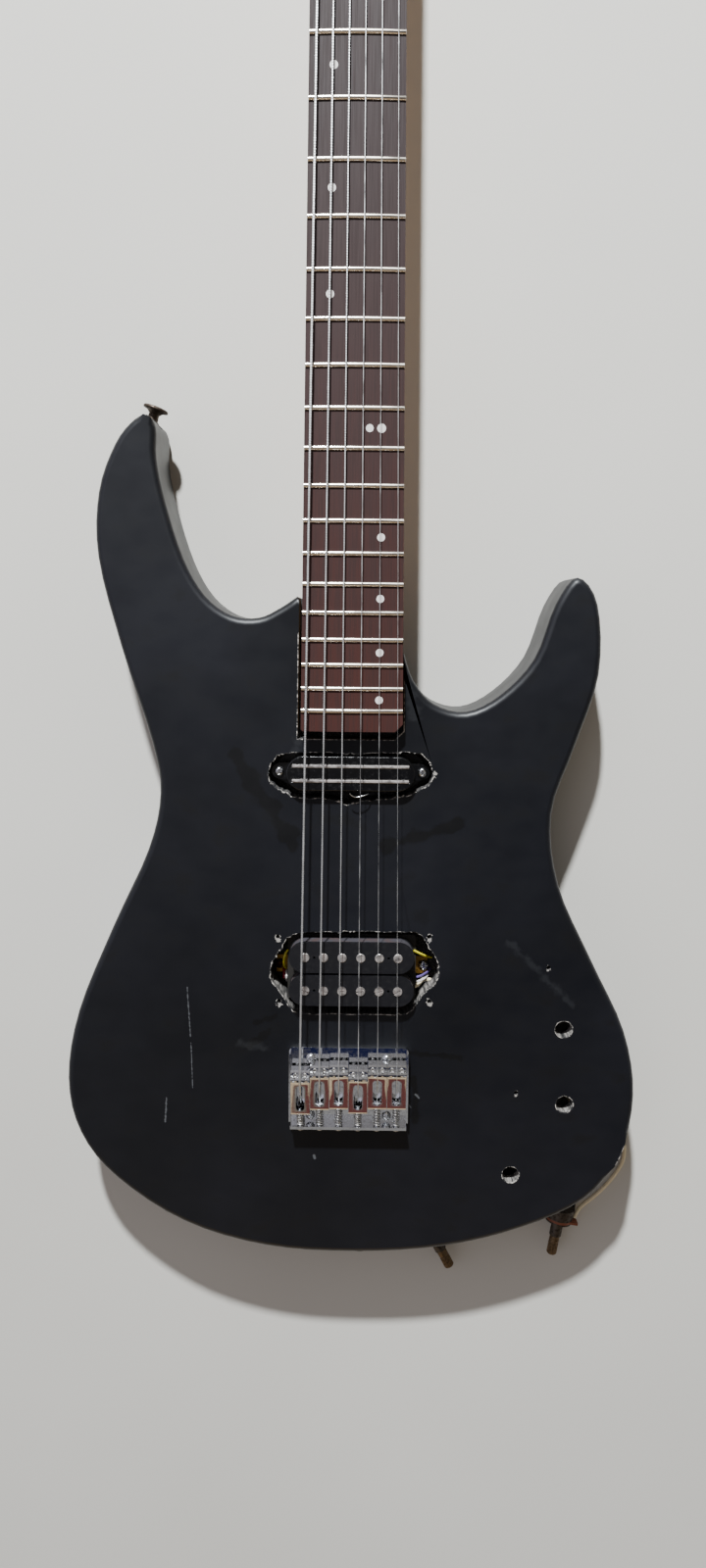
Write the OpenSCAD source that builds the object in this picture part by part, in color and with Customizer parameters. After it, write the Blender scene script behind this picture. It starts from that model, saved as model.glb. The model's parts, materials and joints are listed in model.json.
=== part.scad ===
// Solid-body electric guitar with a bolt-on neck, stripped of its knobs, jack and pickup ring.
// X runs to the treble side, Y along the strings to the head, Z up out of the front.
// The origin lies on the flat back, under the end of the scale.

/* [Scale and neck] */
// Length from the nut to the end of the scale
scale_len = 648; // [628:1:660]
// Number of frets
fret_count = 21; // [20:1:21]
// Width of the board at the nut
nut_w = 43.3; // [40:0.1:46]
// Width of the board at its body end
board_end_w = 53; // [50:0.1:56]
// Thickness of the fingerboard at its middle
board_t = 6; // [5:0.5:8]
// Radius of the fingerboard's top
board_r = 305; // [240:5:400]
// Thickness of the neck's heel under the board
heel_t = 19; // [17:0.5:21]
// Height of a fret's crown
fret_h = 1.1; // [0.8:0.1:1.5]
// Width of a fret's crown
fret_w = 2.4; // [2:0.1:3]

/* [Body] */
// Thickness of the body
body_t = 44; // [40:1:52]
// Depth of the neck pocket
pocket_depth = 16; // [14:0.5:17]
// Depth of the neck pickup's route
neck_route_depth = 16; // [14:1:20]
// Depth of the bridge pickup's route
bridge_route_depth = 19; // [17:1:22]
// Wood left over the control cavity
cavity_roof = 8; // [6:1:12]
// Diameter of a control hole
pot_hole_d = 9.2; // [8.6:0.1:10]
// Diameter of the jack's hole in the rim
jack_hole_d = 22; // [20:1:24]

/* [Strings] */
// Spread of the outer strings at the nut
nut_spread = 35; // [32:0.5:37]
// Spread of the outer strings at the bridge
bridge_spread = 52.5; // [50:0.5:54]
// Height of the saddles' crests over the body
saddle_h = 13.3; // [12:0.1:15]

/* [Bridge] */
// Width of the bridge plate
plate_w = 65.6; // [65.2:0.2:70]
// Length of the bridge plate
plate_len = 44; // [42:0.5:50]
// Thickness of the bridge plate
plate_t = 1.6; // [1.2:0.1:2.5]
// Height of the plate's rear wall
rear_wall_h = 9.5; // [8.5:0.5:11]

/* [Pickups] */
// Distance from the first pole to the sixth
pole_spread = 50; // [48:0.5:52]
// Length of a humbucker bobbin
bobbin_len = 67.5; // [66:0.5:69]
// Width of a humbucker bobbin
bobbin_w = 17.2; // [16.5:0.1:17.6]
// Length of a blade of the neck pickup
blade_len = 61.5; // [56:0.5:62]

/* [Hardware] */
// Diameter of a tuner's post
post_d = 6; // [5.6:0.1:6.4]
// Diameter of a pot's can
can_d = 16; // [15:0.5:17]
// Diameter of a pot's shaft
shaft_d = 6; // [5.8:0.05:6.35]
// Length of a pot's bushing
bushing_len = 9.5; // [6:0.5:10]

/* [Hidden] */
$fn = 48;

// A cut reaches this far past a face
eps = 1;
// Running clearance of a shaft in its bore, on the radius
run = 0.05;
// Gap that keeps neighbouring pieces apart
gap = 0.3;

// ---- curves and sweeps ----

function catmull(a, b, c, d, t) =
    0.5 * (2 * b + (c - a) * t + (2 * a - 5 * b + 4 * c - d) * t * t
    + (3 * b - a - 3 * c + d) * t * t * t);
function at(p, i) = p[min(max(i, 0), len(p) - 1)];
// A smooth open curve through the points of p, with n steps between two points
function smooth(p, n) = concat(
    [for (i = [0:len(p) - 2]) for (k = [0:n - 1])
        catmull(at(p, i - 1), p[i], p[i + 1], at(p, i + 2), k / n)],
    [p[len(p) - 1]]);
// The same for a closed curve
function smooth_ring(p, n) = let (m = len(p))
    [for (i = [0:m - 1]) for (k = [0:n - 1])
        catmull(p[(i + m - 1) % m], p[i], p[(i + 1) % m], p[(i + 2) % m], k / n)];
// A closed curve with the uneven edge of a cut made by hand
function ragged(p, depth) = let (c = smooth_ring(p, 3))
    [for (i = [0:len(c) - 1]) c[i] + depth * [sin(137 * i), cos(211 * i)]];
function unit(v) = v / norm(v);
function along(p, i) = unit(at(p, i + 1) - at(p, i - 1));
// A side vector for each point, carried along the path without twist
function side_step(s, t) = unit(s - (s * t) * t);
function sides(p) = [for (i = 0, s = side_step([1, 0.01, 0.02], along(p, 0)); i < len(p);
    i = i + 1, s = side_step(s, along(p, min(i, len(p) - 1)))) s];
function ring(c, t, s, r, n) = let (u = cross(t, s))
    [for (k = [0:n - 1]) c + r * (cos(360 * k / n) * s + sin(360 * k / n) * u)];

// A round tube of radius r and n sides that follows the path p
module tube(p, r, n) {
    s = sides(p);
    m = len(p);
    polyhedron(
        points = [for (i = [0:m - 1]) each ring(p[i], along(p, i), s[i], r, n)],
        faces = concat(
            [[for (k = [0:n - 1]) k]],
            [[for (k = [0:n - 1]) (m - 1) * n + n - 1 - k]],
            [for (i = [0:m - 2]) for (k = [0:n - 1]) let (j = (k + 1) % n)
                each [[i * n + k, (i + 1) * n + k, (i + 1) * n + j],
                    [i * n + k, (i + 1) * n + j, i * n + j]]]));
}

// A plan outline with straight sides and round ends
module stadium(length, w) {
    translate([-(length - w) / 2, 0]) circle(d = w);
    translate([(length - w) / 2, 0]) circle(d = w);
    translate([-(length - w) / 2, -w / 2]) square([length - w, w]);
}

// A rectangle in plan with round corners
module round_rect(w, l, r) {
    translate([-w / 2 + r, -l / 2]) square([w - 2 * r, l]);
    translate([-w / 2, -l / 2 + r]) square([w, l - 2 * r]);
    for (x = [-1, 1]) for (y = [-1, 1])
        translate([x * (w / 2 - r), y * (l / 2 - r)]) circle(r);
}

// A pan-head screw: its head's underside is at z = 0 and its shank points down
module screw(shank_d, length, head_d, head_h, slot_w, crosshead) {
    difference() {
        union() {
            translate([0, 0, -length]) cylinder(d = shank_d, h = length);
            rotate_extrude() polygon([[0, 0], [head_d / 2, 0], [head_d / 2, head_h * 0.4],
                [head_d * 0.36, head_h * 0.85], [head_d * 0.18, head_h], [0, head_h]]);
        }
        translate([-head_d * (crosshead ? 0.3 : 0.6), -slot_w / 2, head_h * 0.45])
            cube([head_d * (crosshead ? 0.6 : 1.2), slot_w, head_h]);
        if (crosshead) translate([-slot_w / 2, -head_d * 0.3, head_h * 0.45])
            cube([slot_w, head_d * 0.6, head_h]);
    }
}

// ---- heights and places shared by the pieces ----

heel_z = body_t - pocket_depth;
board_z = heel_z + heel_t;
board_top = board_z + board_t;
function fret_y(n) = scale_len * pow(2, -n / 12);
board_end_y = fret_y(fret_count + 1);
function board_w(y) = nut_w + (board_end_w - nut_w) * (scale_len - y) / (scale_len - board_end_y);
// Width of the neck under the board, a hair inside it
function neck_w(y) = board_w(y) - 0.4;

// Places along the body are drawn for this scale, and stretched with the scale in use
drawn_scale = 648;
stretch = scale_len / drawn_scale;
function stretched(p) = [for (q = p) [q[0], q[1] * stretch]];

// Outer line of the body from the bass cutaway round the tail to the treble cutaway
body_points = [[-29, 251], [-38, 245], [-49, 240], [-63, 241], [-77, 251], [-88, 270],
    [-97, 299], [-101, 320], [-101, 335], [-105, 341], [-112, 339], [-122, 327], [-131, 303],
    [-132, 270], [-121, 224], [-106, 175], [-102, 147], [-109, 116], [-129, 73], [-149, 25],
    [-156, -14], [-150, -46],
    [-130, -73], [-92, -99], [-46, -113], [4, -116], [54, -112], [98, -100], [133, -82],
    [152, -55], [158, -20], [151, 17], [131, 58], [112, 99], [107, 138], [118, 174],
    [129, 212], [127, 248], [116, 262], [105, 248], [95, 220], [78, 201], [60, 192],
    [43, 196], [32, 208], [27, 222]];
body_line = smooth(stretched(body_points), 4);

// The pocket is cut wider than the heel, most of all at its end and on the bass side
pocket_gap_bass = 2.2;
pocket_gap_treble = 0.9;
pocket_gap_end = 4.8;
pocket_corner = 4.5;
pocket_end_y = board_end_y - pocket_gap_end;
pocket_out_y = 262 * stretch;
function pocket_bass(y) = -neck_w(y) / 2 - pocket_gap_bass;
function pocket_treble(y) = neck_w(y) / 2 + pocket_gap_treble;
pocket_line = [[pocket_bass(pocket_out_y), pocket_out_y], [pocket_bass(pocket_end_y), pocket_end_y],
    [pocket_treble(pocket_end_y) - pocket_corner, pocket_end_y],
    [pocket_treble(pocket_end_y), pocket_end_y + pocket_corner],
    [pocket_treble(pocket_out_y), pocket_out_y]];

// Neck pickup: its centre and its plan, which the route round it follows
neck_pickup_x = -0.4;
neck_pickup_y = board_end_y - 22.5;
cover_len = 67.5;
cover_w = 18.2;
ear_len = 83;
ear_w = 9;

// Route of the neck pickup about its centre: close along the top, wide and nicked below
function neck_route_points(e, b, t, l) = [[-e, 0], [-e + 3, 6], [-b - 2, t - 1], [-b / 2, t],
    [0, t - 0.5], [b / 2, t], [b, t + 0.3], [e - 3, 7], [e, 0], [e - 2, -6], [b + 2, -9],
    [b - 4, -l + 2], [b / 2, -l], [6, -l - 1], [-2, -l - 3], [-11, -l], [-b + 5, -l + 0.5],
    [-b, -l + 3], [-e + 5, -9], [-e + 1, -5]];
route_ragged = 0.3;
neck_route = ragged(neck_route_points(ear_len / 2 + 2, cover_len / 2, cover_w / 2 + 1.3,
    cover_w / 2 + 5), route_ragged);

// Bridge pickup: its centre and its plan
humbucker_x = 1;
humbucker_y = 50.6 * stretch;
row_gap = 18.4;
leg_x = 35.2;
tab_out = 7;
leg_w = 10;
bobbins_half = (row_gap + bobbin_w) / 2;

// Route of the bridge pickup about its centre: w to each side, t above, l below, with an ear
// that reaches out to b on the bass side and to r on the treble side
function bridge_route_points(w, t, l, b, r) = [[-b, 0], [-b + 2, 6], [-w - 1, 12], [-w + 1, t - 5],
    [-w + 5, t - 2], [-w + 12, t - 0.5], [-8, t], [2, t + 0.4], [w - 12, t + 0.3], [w - 2, t],
    [w + 2, t - 3], [w + 5, 13], [r - 2, 8], [r, 0], [r - 2, -7], [w + 3, -12], [w - 1, -18],
    [w - 5, -l + 1.5], [w - 12, -l], [0, -l], [-w + 10, -l], [-w + 4, -l + 2.5], [-w + 1, -17],
    [-w - 4, -10], [-b + 0.5, -6]];
bridge_route = ragged(bridge_route_points(bobbin_len / 2 + 3, bobbins_half + 3.6,
    bobbins_half + 6.8, leg_x + tab_out + 1.8, leg_x + tab_out + 5.2), route_ragged);

// Control cavity, cut from the back
cavity_points = [[86, 30], [98, 38], [124, 36], [138, 20], [142, -8], [142, -36], [134, -58],
    [116, -76], [94, -86], [76, -83], [71, -70], [79, -56], [97, -42], [101, -22], [99, 2],
    [90, 12]];
pot_holes = stretched([[117.5, 18.5], [119.5, -25], [91, -67]]);
// Screw holes of the missing ring, about the bridge pickup's centre
ring_holes = [[-40, 18.5], [42, 19.5], [-39.5, -18], [42.5, -17]];
ring_hole_d = 2.4;
ring_hole_deep = 9;
// Two stray holes in the top
stray_holes = stretched([[108, 53.5], [92.5, -18.5]]);
stray_hole_d = 2.2;
stray_hole_deep = 6;

// Jack hole: its centre on the rim, and the way it faces
jack_pos = [153.3, -52.6 * stretch, body_t / 2];
jack_turn = -21;
// Drilled way from the bridge pickup's route to the control cavity
wire_way_from = [40, humbucker_y - 7.6, body_t - bridge_route_depth + 3.5];
wire_way_turn = -23;
wire_way_len = 60;
wire_way_d = 7;

// Bridge: the plate's front edge, and where the strings come up through it
plate_front_y = 7;
plate_z = body_t + plate_t;
rim_t = 1;
wall_t = 1.6;
rim_h = 4;
string_hole_y = -25;
string_hole_d = 3;
bridge_screw_places = [[-20.9, 1], [20.9, 1], [-21, -32], [21, -32]];
saddle_w = bridge_spread / 5 - gap;
// How far each saddle's crest sits behind the scale's end, bass string first
set_back = [7, 4.2, 3.6, 6, 3.3, 3.3];
crest_z = body_t + saddle_h;
intonation_z = plate_z + 5;

// Strings, bass first: diameters
string_d = [1.15, 0.9, 0.65, 0.43, 0.33, 0.25];
function bridge_x(i) = (i / 5 - 0.5) * bridge_spread;
function nut_x(i) = (i / 5 - 0.5) * nut_spread;
nut_t = 4.5;
nut_slot_z = board_top + fret_h + 0.4;
// Where a string's line passes a distance along the head
function string_x(i, y) = nut_x(i) + (nut_x(i) - bridge_x(i)) / (scale_len + set_back[i])
    * (y - scale_len);

// Tuners stand in one row on the bass side of the head
head_z = board_z - 3;
head_t = 14.5;
head_back = head_z - head_t;
first_post_y = scale_len + 36;
post_step = 25;
row_turn = 15;
waist_d = post_d - 0.8;
function wrap_r(i) = waist_d / 2 + string_d[i] / 2 + 0.08;
function post_y(i) = first_post_y + i * post_step;
function post_x(i) = string_x(i, post_y(i)) - wrap_r(i);
bushing_d = 10;
washer_t = 2;
waist_z = head_z + washer_t + 1.2;
post_top = head_z + 14.5;
worm_d = 4.4;
wheel_d = 9.2;
worm_off = (worm_d + wheel_d) / 2 + 0.2;
worm_z = head_back - 5.5;

// Pots lie on the ground off the lower rim: the can's front centre, and the way each points
can_front = [[51.5, -126.3 * stretch, can_d / 2], [125.7, -114.8 * stretch, can_d / 2]];
can_turn = [-62.4, -99];
// Side on which the wafer's lugs stand
lug_side = [1, 1];
shaft_out = 12;
can_len = 9;
front_t = 1.2;
wafer_t = 1.4;

// ---- wood ----

module strap_seat(pos, turn) {
    translate(pos) rotate([0, 0, turn]) rotate([-90, 0, 0]) children();
}
horn_button_pos = [-107.2, 339.8 * stretch, body_t / 2];
horn_button_turn = -19;
tail_button_pos = [7, -115.4 * stretch, body_t / 2];
tail_button_turn = 180;
strap_hole_d = 3;
strap_screw_len = 26;

neck_screw_places = [for (p = [[-17, 12], [15, 8], [-17, 49], [15, 29]])
    [p[0], board_end_y + p[1] * stretch]];
neck_screw_d = 4.2;
ferrule_d = 14;
ferrule_t = 4;
string_ferrule_d = 8;
string_ferrule_t = 9;

module body() {
    color("#1d1f22")
    difference() {
        linear_extrude(body_t) polygon(body_line);
        translate([0, 0, heel_z]) linear_extrude(pocket_depth + eps) polygon(pocket_line);
        translate([0, 0, body_t - neck_route_depth])
            linear_extrude(neck_route_depth + eps)
                translate([neck_pickup_x, neck_pickup_y]) polygon(neck_route);
        translate([0, 0, body_t - bridge_route_depth])
            linear_extrude(bridge_route_depth + eps)
                translate([humbucker_x, humbucker_y]) polygon(bridge_route);
        translate([0, 0, -eps]) linear_extrude(body_t - cavity_roof + eps)
            polygon(stretched(cavity_points));
        for (p = pot_holes) translate([p[0], p[1], 0]) cylinder(d = pot_hole_d, h = body_t + eps);
        for (p = ring_holes)
            translate([humbucker_x + p[0], humbucker_y + p[1], body_t - ring_hole_deep])
                cylinder(d = ring_hole_d, h = ring_hole_deep + eps);
        for (p = stray_holes) translate([p[0], p[1], body_t - stray_hole_deep])
            cylinder(d = stray_hole_d, h = stray_hole_deep + eps);
        translate(jack_pos) rotate([0, 0, jack_turn]) rotate([0, 90, 0])
            translate([0, 0, -24]) cylinder(d = jack_hole_d, h = 30);
        translate(wire_way_from) rotate([0, 0, wire_way_turn]) rotate([0, 90, 0])
            cylinder(d = wire_way_d, h = wire_way_len);
        for (p = neck_screw_places) translate([p[0], p[1], -eps]) {
            cylinder(d = neck_screw_d, h = body_t);
            cylinder(d = ferrule_d, h = ferrule_t + eps);
        }
        for (i = [0:5]) translate([bridge_x(i), string_hole_y, -eps]) {
            cylinder(d = string_hole_d, h = body_t + 2 * eps);
            cylinder(d = string_ferrule_d, h = string_ferrule_t + eps);
        }
        for (p = bridge_screw_places)
            translate([p[0], p[1], plate_z - bridge_screw_len])
                cylinder(d = bridge_screw_d, h = bridge_screw_len);
        for (p = humbucker_screw_places)
            translate([p[0], p[1], tab_top - pickup_screw_len])
                cylinder(d = pickup_screw_d, h = pickup_screw_len);
        for (x = neck_pickup_screws_x)
            translate([x, neck_pickup_y, ear_top - neck_pickup_screw_len])
                cylinder(d = pickup_screw_d, h = neck_pickup_screw_len);
        strap_seat(horn_button_pos, horn_button_turn) {
            cylinder(r = 7.5, h = 12);
            translate([0, 0, -strap_screw_len]) cylinder(d = strap_hole_d, h = strap_screw_len);
        }
        strap_seat(tail_button_pos, tail_button_turn) {
            cylinder(r = 7.5, h = 12);
            translate([0, 0, -strap_screw_len]) cylinder(d = strap_hole_d, h = strap_screw_len);
        }
    }
}

// Half-round section of the neck at a distance along it, as a thin slice
module neck_slice(y, depth) {
    w = neck_w(y);
    translate([0, y, board_z]) rotate([90, 0, 0]) linear_extrude(0.5)
        polygon(concat([for (a = [0:15:180]) [w / 2 * cos(a), -depth * pow(sin(a), 0.8)]]));
}

heel_end_y = board_end_y + 80 * stretch;
shaft_start_y = heel_end_y + 20;
neck_depth_heel = 17;
neck_depth_nut = 15;
rod_w = 6;
rod_h = 8;
rod_from_y = board_end_y + 18;

// Outline of the head, from the nut's bass side round the tip
head_points = [[-21.4, scale_len + nut_t], [-22.5, scale_len + 12], [-28, scale_len + 18],
    [-35.5, scale_len + 26], [-33.5, scale_len + 38], [-17, scale_len + 101],
    [-1.5, scale_len + 160], [2.5, scale_len + 172], [9, scale_len + 181],
    [19, scale_len + 184], [28, scale_len + 179], [32.5, scale_len + 167],
    [33, scale_len + 148], [30, scale_len + 105], [26.5, scale_len + 60],
    [23, scale_len + 24], [21.4, scale_len + nut_t]];

module neck() {
    heel_w = neck_w(board_end_y + 8);
    color("#b98d5a")
    difference() {
        union() {
            translate([0, 0, heel_z]) linear_extrude(heel_t)
                polygon([[-neck_w(board_end_y) / 2, board_end_y], [heel_w / 2 - 4, board_end_y],
                    [heel_w / 2, board_end_y + 4], [neck_w(heel_end_y) / 2, heel_end_y],
                    [-neck_w(heel_end_y) / 2, heel_end_y]]);
            hull() {
                translate([-neck_w(heel_end_y) / 2, heel_end_y - 0.5, heel_z])
                    cube([neck_w(heel_end_y), 0.5, heel_t]);
                neck_slice(shaft_start_y, neck_depth_heel);
            }
            hull() {
                neck_slice(shaft_start_y, neck_depth_heel);
                neck_slice(scale_len + nut_t, neck_depth_nut);
            }
            hull() {
                neck_slice(scale_len + nut_t, neck_depth_nut);
                translate([-20, scale_len + 17, head_back]) cube([42, 1, head_t]);
            }
            translate([0, 0, head_back]) linear_extrude(head_t)
                polygon(smooth(head_points, 4));
        }
        // channel for the truss rod, open at the head
        translate([-rod_w / 2, rod_from_y, board_z - rod_h])
            cube([rod_w, scale_len + 26 - rod_from_y, rod_h + 9]);
        for (i = [0:5]) translate([post_x(i), post_y(i), head_back - eps])
            cylinder(d = bushing_d, h = head_t + 2 * eps);
        for (p = neck_screw_places) translate([p[0], p[1], heel_z - eps])
            cylinder(d = neck_screw_d, h = 14 + eps);
        for (i = [0:5]) translate([post_x(i), post_y(i), 0]) rotate([0, 0, -row_turn])
            translate([tuner_screw_x, tuner_screw_y, head_back - eps])
                cylinder(d = tuner_screw_d, h = 8 + eps);
    }
}

module board_cylinder() {
    translate([0, 0, board_top - board_r]) rotate([-90, 0, 0])
        cylinder(r = board_r, h = scale_len + 10, $fn = 180);
}

dot_d = 4;
dot_deep = 1.6;
function dot_y(n) = (fret_y(n) + fret_y(n - 1)) / 2;
bass_dot_x = -12.4;
treble_dot_x = 14;
// Each dot: place across, place along, diameter
dots = concat(
    [for (n = [3, 5, 7, 9]) [bass_dot_x + (9 - n) * 0.3, dot_y(n), dot_d]],
    [[7.7, dot_y(12), 3.8], [13.6, dot_y(12), 4.4]],
    [for (n = [15, 17, 19, 21]) if (n <= fret_count) [treble_dot_x, dot_y(n), dot_d]]);
// Height of the board's top at a distance from its middle
function board_top_at(x) = board_top - board_r + sqrt(board_r * board_r - x * x);

module dot_cylinders() {
    for (d = dots) translate([d[0], d[1], board_top - dot_deep]) cylinder(d = d[2], h = 4);
}

slot_w = 0.6;
tang_h = 2;
board_chamfer = 4;

module fretboard() {
    e = board_w(board_end_y) / 2;
    color("#4d3630")
    difference() {
        intersection() {
            translate([0, 0, board_z]) linear_extrude(board_t + eps)
                polygon([[-e, board_end_y + 1], [-e + 1, board_end_y],
                    [e - board_chamfer, board_end_y], [e, board_end_y + board_chamfer],
                    [nut_w / 2, scale_len], [-nut_w / 2, scale_len]]);
            board_cylinder();
        }
        for (n = [1:fret_count])
            translate([-40, fret_y(n) - slot_w / 2, board_top - tang_h - 1.6])
                cube([80, slot_w, 8]);
        dot_cylinders();
    }
}

module frets() {
    color("#cbc5bc")
    for (n = [1:fret_count]) {
        half = asin((board_w(fret_y(n)) / 2 - 0.1) / board_r);
        translate([0, fret_y(n), board_top - board_r]) rotate([90, 0, 0])
            rotate([0, 0, 90 - half]) rotate_extrude(angle = 2 * half, $fn = 180)
                polygon(concat([[board_r - tang_h, -slot_w / 2], [board_r, -slot_w / 2]],
                    [for (a = [0:30:180])
                        [board_r + fret_h * sin(a), -fret_w / 2 * cos(a)]],
                    [[board_r, slot_w / 2], [board_r - tang_h, slot_w / 2]]));
    }
}

module inlay_dots() {
    color("#d8d3cb")
    for (d = dots) translate([d[0], d[1], board_top - dot_deep])
        cylinder(d = d[2], h = board_top_at(d[0]) - board_top + dot_deep);
}

module nut() {
    color("#ddd8c8")
    difference() {
        translate([-nut_w / 2 + 0.3, scale_len, board_z])
            cube([nut_w - 0.6, nut_t, nut_slot_z - board_z + 0.8]);
        for (i = [0:5])
            translate([nut_x(i) - string_d[i] / 2 - 0.03, scale_len - eps, nut_slot_z])
                cube([string_d[i] + 0.06, nut_t + 2 * eps, 4]);
    }
}

module truss_rod() {
    color("#6f7276") {
        translate([-rod_w / 2, rod_from_y, board_z - rod_h])
            cube([rod_w, scale_len - rod_from_y, rod_h]);
        translate([0, scale_len, board_z - rod_h / 2]) rotate([-90, 0, 0])
            cylinder(d = rod_w, h = 16, $fn = 6);
    }
}

module neck_ferrules() {
    color("#26272a")
    for (p = neck_screw_places) translate([p[0], p[1], 0.2]) difference() {
        cylinder(d = ferrule_d, h = ferrule_t - 0.2);
        translate([0, 0, -eps]) cylinder(d = neck_screw_d, h = ferrule_t + 2 * eps);
        translate([0, 0, -eps]) cylinder(d = 9, h = 2 + eps);
    }
}

module neck_screws() {
    color("#26272a")
    for (p = neck_screw_places) translate([p[0], p[1], 2.2]) rotate([180, 0, 0])
        screw(neck_screw_d, heel_z + 11, 8, 1.9, 1, true);
}

// ---- neck pickup: a black cover over two blades ----

ear_top = body_t - 4;
ear_t = 2.5;
neck_floor = body_t - neck_route_depth;
cover_top = body_t + 5.5;
cover_wall = 1.2;
base_len = 80;
ear_hole_x = 38.1;
neck_pickup_screws_x = [neck_pickup_x - ear_hole_x, neck_pickup_x + ear_hole_x];
blade_t = 1.5;
blade_gap = 7.8;
// The blades are narrower below their tops, where the coils are wound
blade_core_len = 54;
neck_coil_h = 11;
pickup_base_t = 2;
neck_coil_z = neck_floor + pickup_base_t + 4;
pickup_screw_d = 2.4;
pickup_screw_len = 20;
neck_pickup_screw_len = 20;

module at_neck_pickup(z) {
    translate([neck_pickup_x, neck_pickup_y, z]) children();
}

module neck_pickup_base() {
    color("#15161a")
    at_neck_pickup(neck_floor) difference() {
        linear_extrude(pickup_base_t) stadium(base_len, cover_w - 0.4);
        for (s = [-1, 1]) translate([s * ear_hole_x, 0, -eps]) cylinder(d = pickup_screw_d + 0.4, h = 9);
        for (s = [-1, 1]) translate([-blade_core_len / 2, s * blade_gap / 2 - blade_t / 2, 1])
            cube([blade_core_len, blade_t, 9]);
    }
}

module neck_pickup_cover() {
    inner_top = cover_top - cover_wall;
    z0 = neck_floor + pickup_base_t;
    color("#15161a")
    difference() {
        union() {
            at_neck_pickup(z0) linear_extrude(cover_top - z0) stadium(cover_len, cover_w);
            at_neck_pickup(ear_top - ear_t) linear_extrude(ear_t) stadium(ear_len, ear_w);
            for (s = [-1, 1]) at_neck_pickup(z0) translate([s * ear_hole_x, 0, 0])
                cylinder(d = 8, h = ear_top - z0);
        }
        at_neck_pickup(z0 - eps) linear_extrude(inner_top - z0 + eps)
            stadium(cover_len - 2 * cover_wall, cover_w - 2 * cover_wall);
        for (s = [-1, 1]) at_neck_pickup(z0 - eps) translate([s * ear_hole_x, 0, 0])
            cylinder(d = pickup_screw_d + 0.4, h = 30);
        for (s = [-1, 1]) at_neck_pickup(inner_top - eps)
            translate([-blade_len / 2, s * blade_gap / 2 - blade_t / 2, 0])
                cube([blade_len, blade_t, 9]);
    }
}

module neck_pickup_blades() {
    color("#b9b6b2")
    at_neck_pickup(neck_floor + 1) for (s = [-1, 1])
        translate([0, s * blade_gap / 2 - blade_t / 2, 0]) {
            translate([-blade_core_len / 2, 0, 0])
                cube([blade_core_len, blade_t, cover_top + 0.6 - neck_floor - 1]);
            translate([-blade_len / 2, 0, neck_coil_z + neck_coil_h - neck_floor])
                cube([blade_len, blade_t, cover_top - neck_coil_z - neck_coil_h - 0.4]);
        }
}

module neck_pickup_screws() {
    color("#b5b2ae")
    for (x = neck_pickup_screws_x) translate([x, neck_pickup_y, ear_top])
        screw(pickup_screw_d, neck_pickup_screw_len, 5, 1.9, 0.8, true);
}

// ---- bridge pickup: a bare humbucker ----

bridge_floor = body_t - bridge_route_depth;
plate_up = body_t - 8;
base_t = 1;
tab_t = 1;
tab_top = bridge_floor + tab_t;
leg_y = humbucker_y - 2;
humbucker_screw_places = [[humbucker_x - 40.2, leg_y], [humbucker_x + 40.2, leg_y]];
magnet_h = 3;
bobbin_z = plate_up + base_t + magnet_h;
bobbin_top = body_t + 7;
flange_t = 1.5;
core_w = 6.4;
slug_d = 4.9;
slug_clear = 0.1;

function pole_x(i) = humbucker_x + (i / 5 - 0.5) * pole_spread;
function row_y(s) = humbucker_y + s * row_gap / 2;

module humbucker_baseplate() {
    color("#b08d4c") {
        difference() {
            translate([humbucker_x, humbucker_y, plate_up]) linear_extrude(base_t)
                round_rect(2 * leg_x, 37, 2);
            for (i = [0:5]) translate([pole_x(i), row_y(-1), plate_up - eps])
                cylinder(d = 3.4, h = base_t + 2 * eps);
        }
        for (s = [-1, 1]) translate([humbucker_x + s * leg_x, leg_y, 0]) {
            translate([s < 0 ? 0 : -tab_t, -leg_w / 2, bridge_floor])
                cube([tab_t, leg_w, plate_up - bridge_floor]);
            difference() {
                translate([s < 0 ? -tab_out : -tab_t, -leg_w / 2, bridge_floor])
                    cube([tab_out + tab_t, leg_w, tab_t]);
                translate([s * 5, 0, bridge_floor - eps])
                    cylinder(d = pickup_screw_d, h = tab_t + 2 * eps);
            }
        }
    }
}

module at_bobbins() {
    for (s = [-1, 1]) translate([humbucker_x, row_y(s), 0]) children();
}

module humbucker_bobbins() {
    color("#141519")
    at_bobbins() difference() {
        union() {
            translate([0, 0, bobbin_z]) linear_extrude(flange_t) stadium(bobbin_len, bobbin_w);
            translate([0, 0, bobbin_top - flange_t]) linear_extrude(flange_t)
                stadium(bobbin_len, bobbin_w);
            translate([0, 0, bobbin_z]) linear_extrude(bobbin_top - bobbin_z)
                stadium(pole_spread + core_w + 2, core_w);
        }
        for (i = [0:5]) translate([(i / 5 - 0.5) * pole_spread, 0, bobbin_z - eps])
            cylinder(d = slug_d, h = 20);
        for (x = [-0.4, 0.4]) translate([x * pole_spread, 0, bobbin_top - 3])
            cylinder(d = 1.4, h = 3 + eps);
    }
}

// A coil wound round the plan shape given as its child
module coil(length, w, h) {
    linear_extrude(h) difference() {
        stadium(length, w);
        children();
    }
}

module pickup_coils() {
    color("#4a4550") {
        at_bobbins() translate([0, 0, bobbin_z + flange_t])
            coil(bobbin_len - 0.8, bobbin_w - 0.8, bobbin_top - bobbin_z - 2 * flange_t)
                stadium(pole_spread + core_w + 2, core_w);
        for (s = [-1, 1]) at_neck_pickup(neck_coil_z) translate([0, s * blade_gap / 2, 0])
            coil(blade_core_len + 5.5, blade_gap - 0.4, neck_coil_h)
                square([blade_core_len, blade_t], center = true);
    }
}

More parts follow.
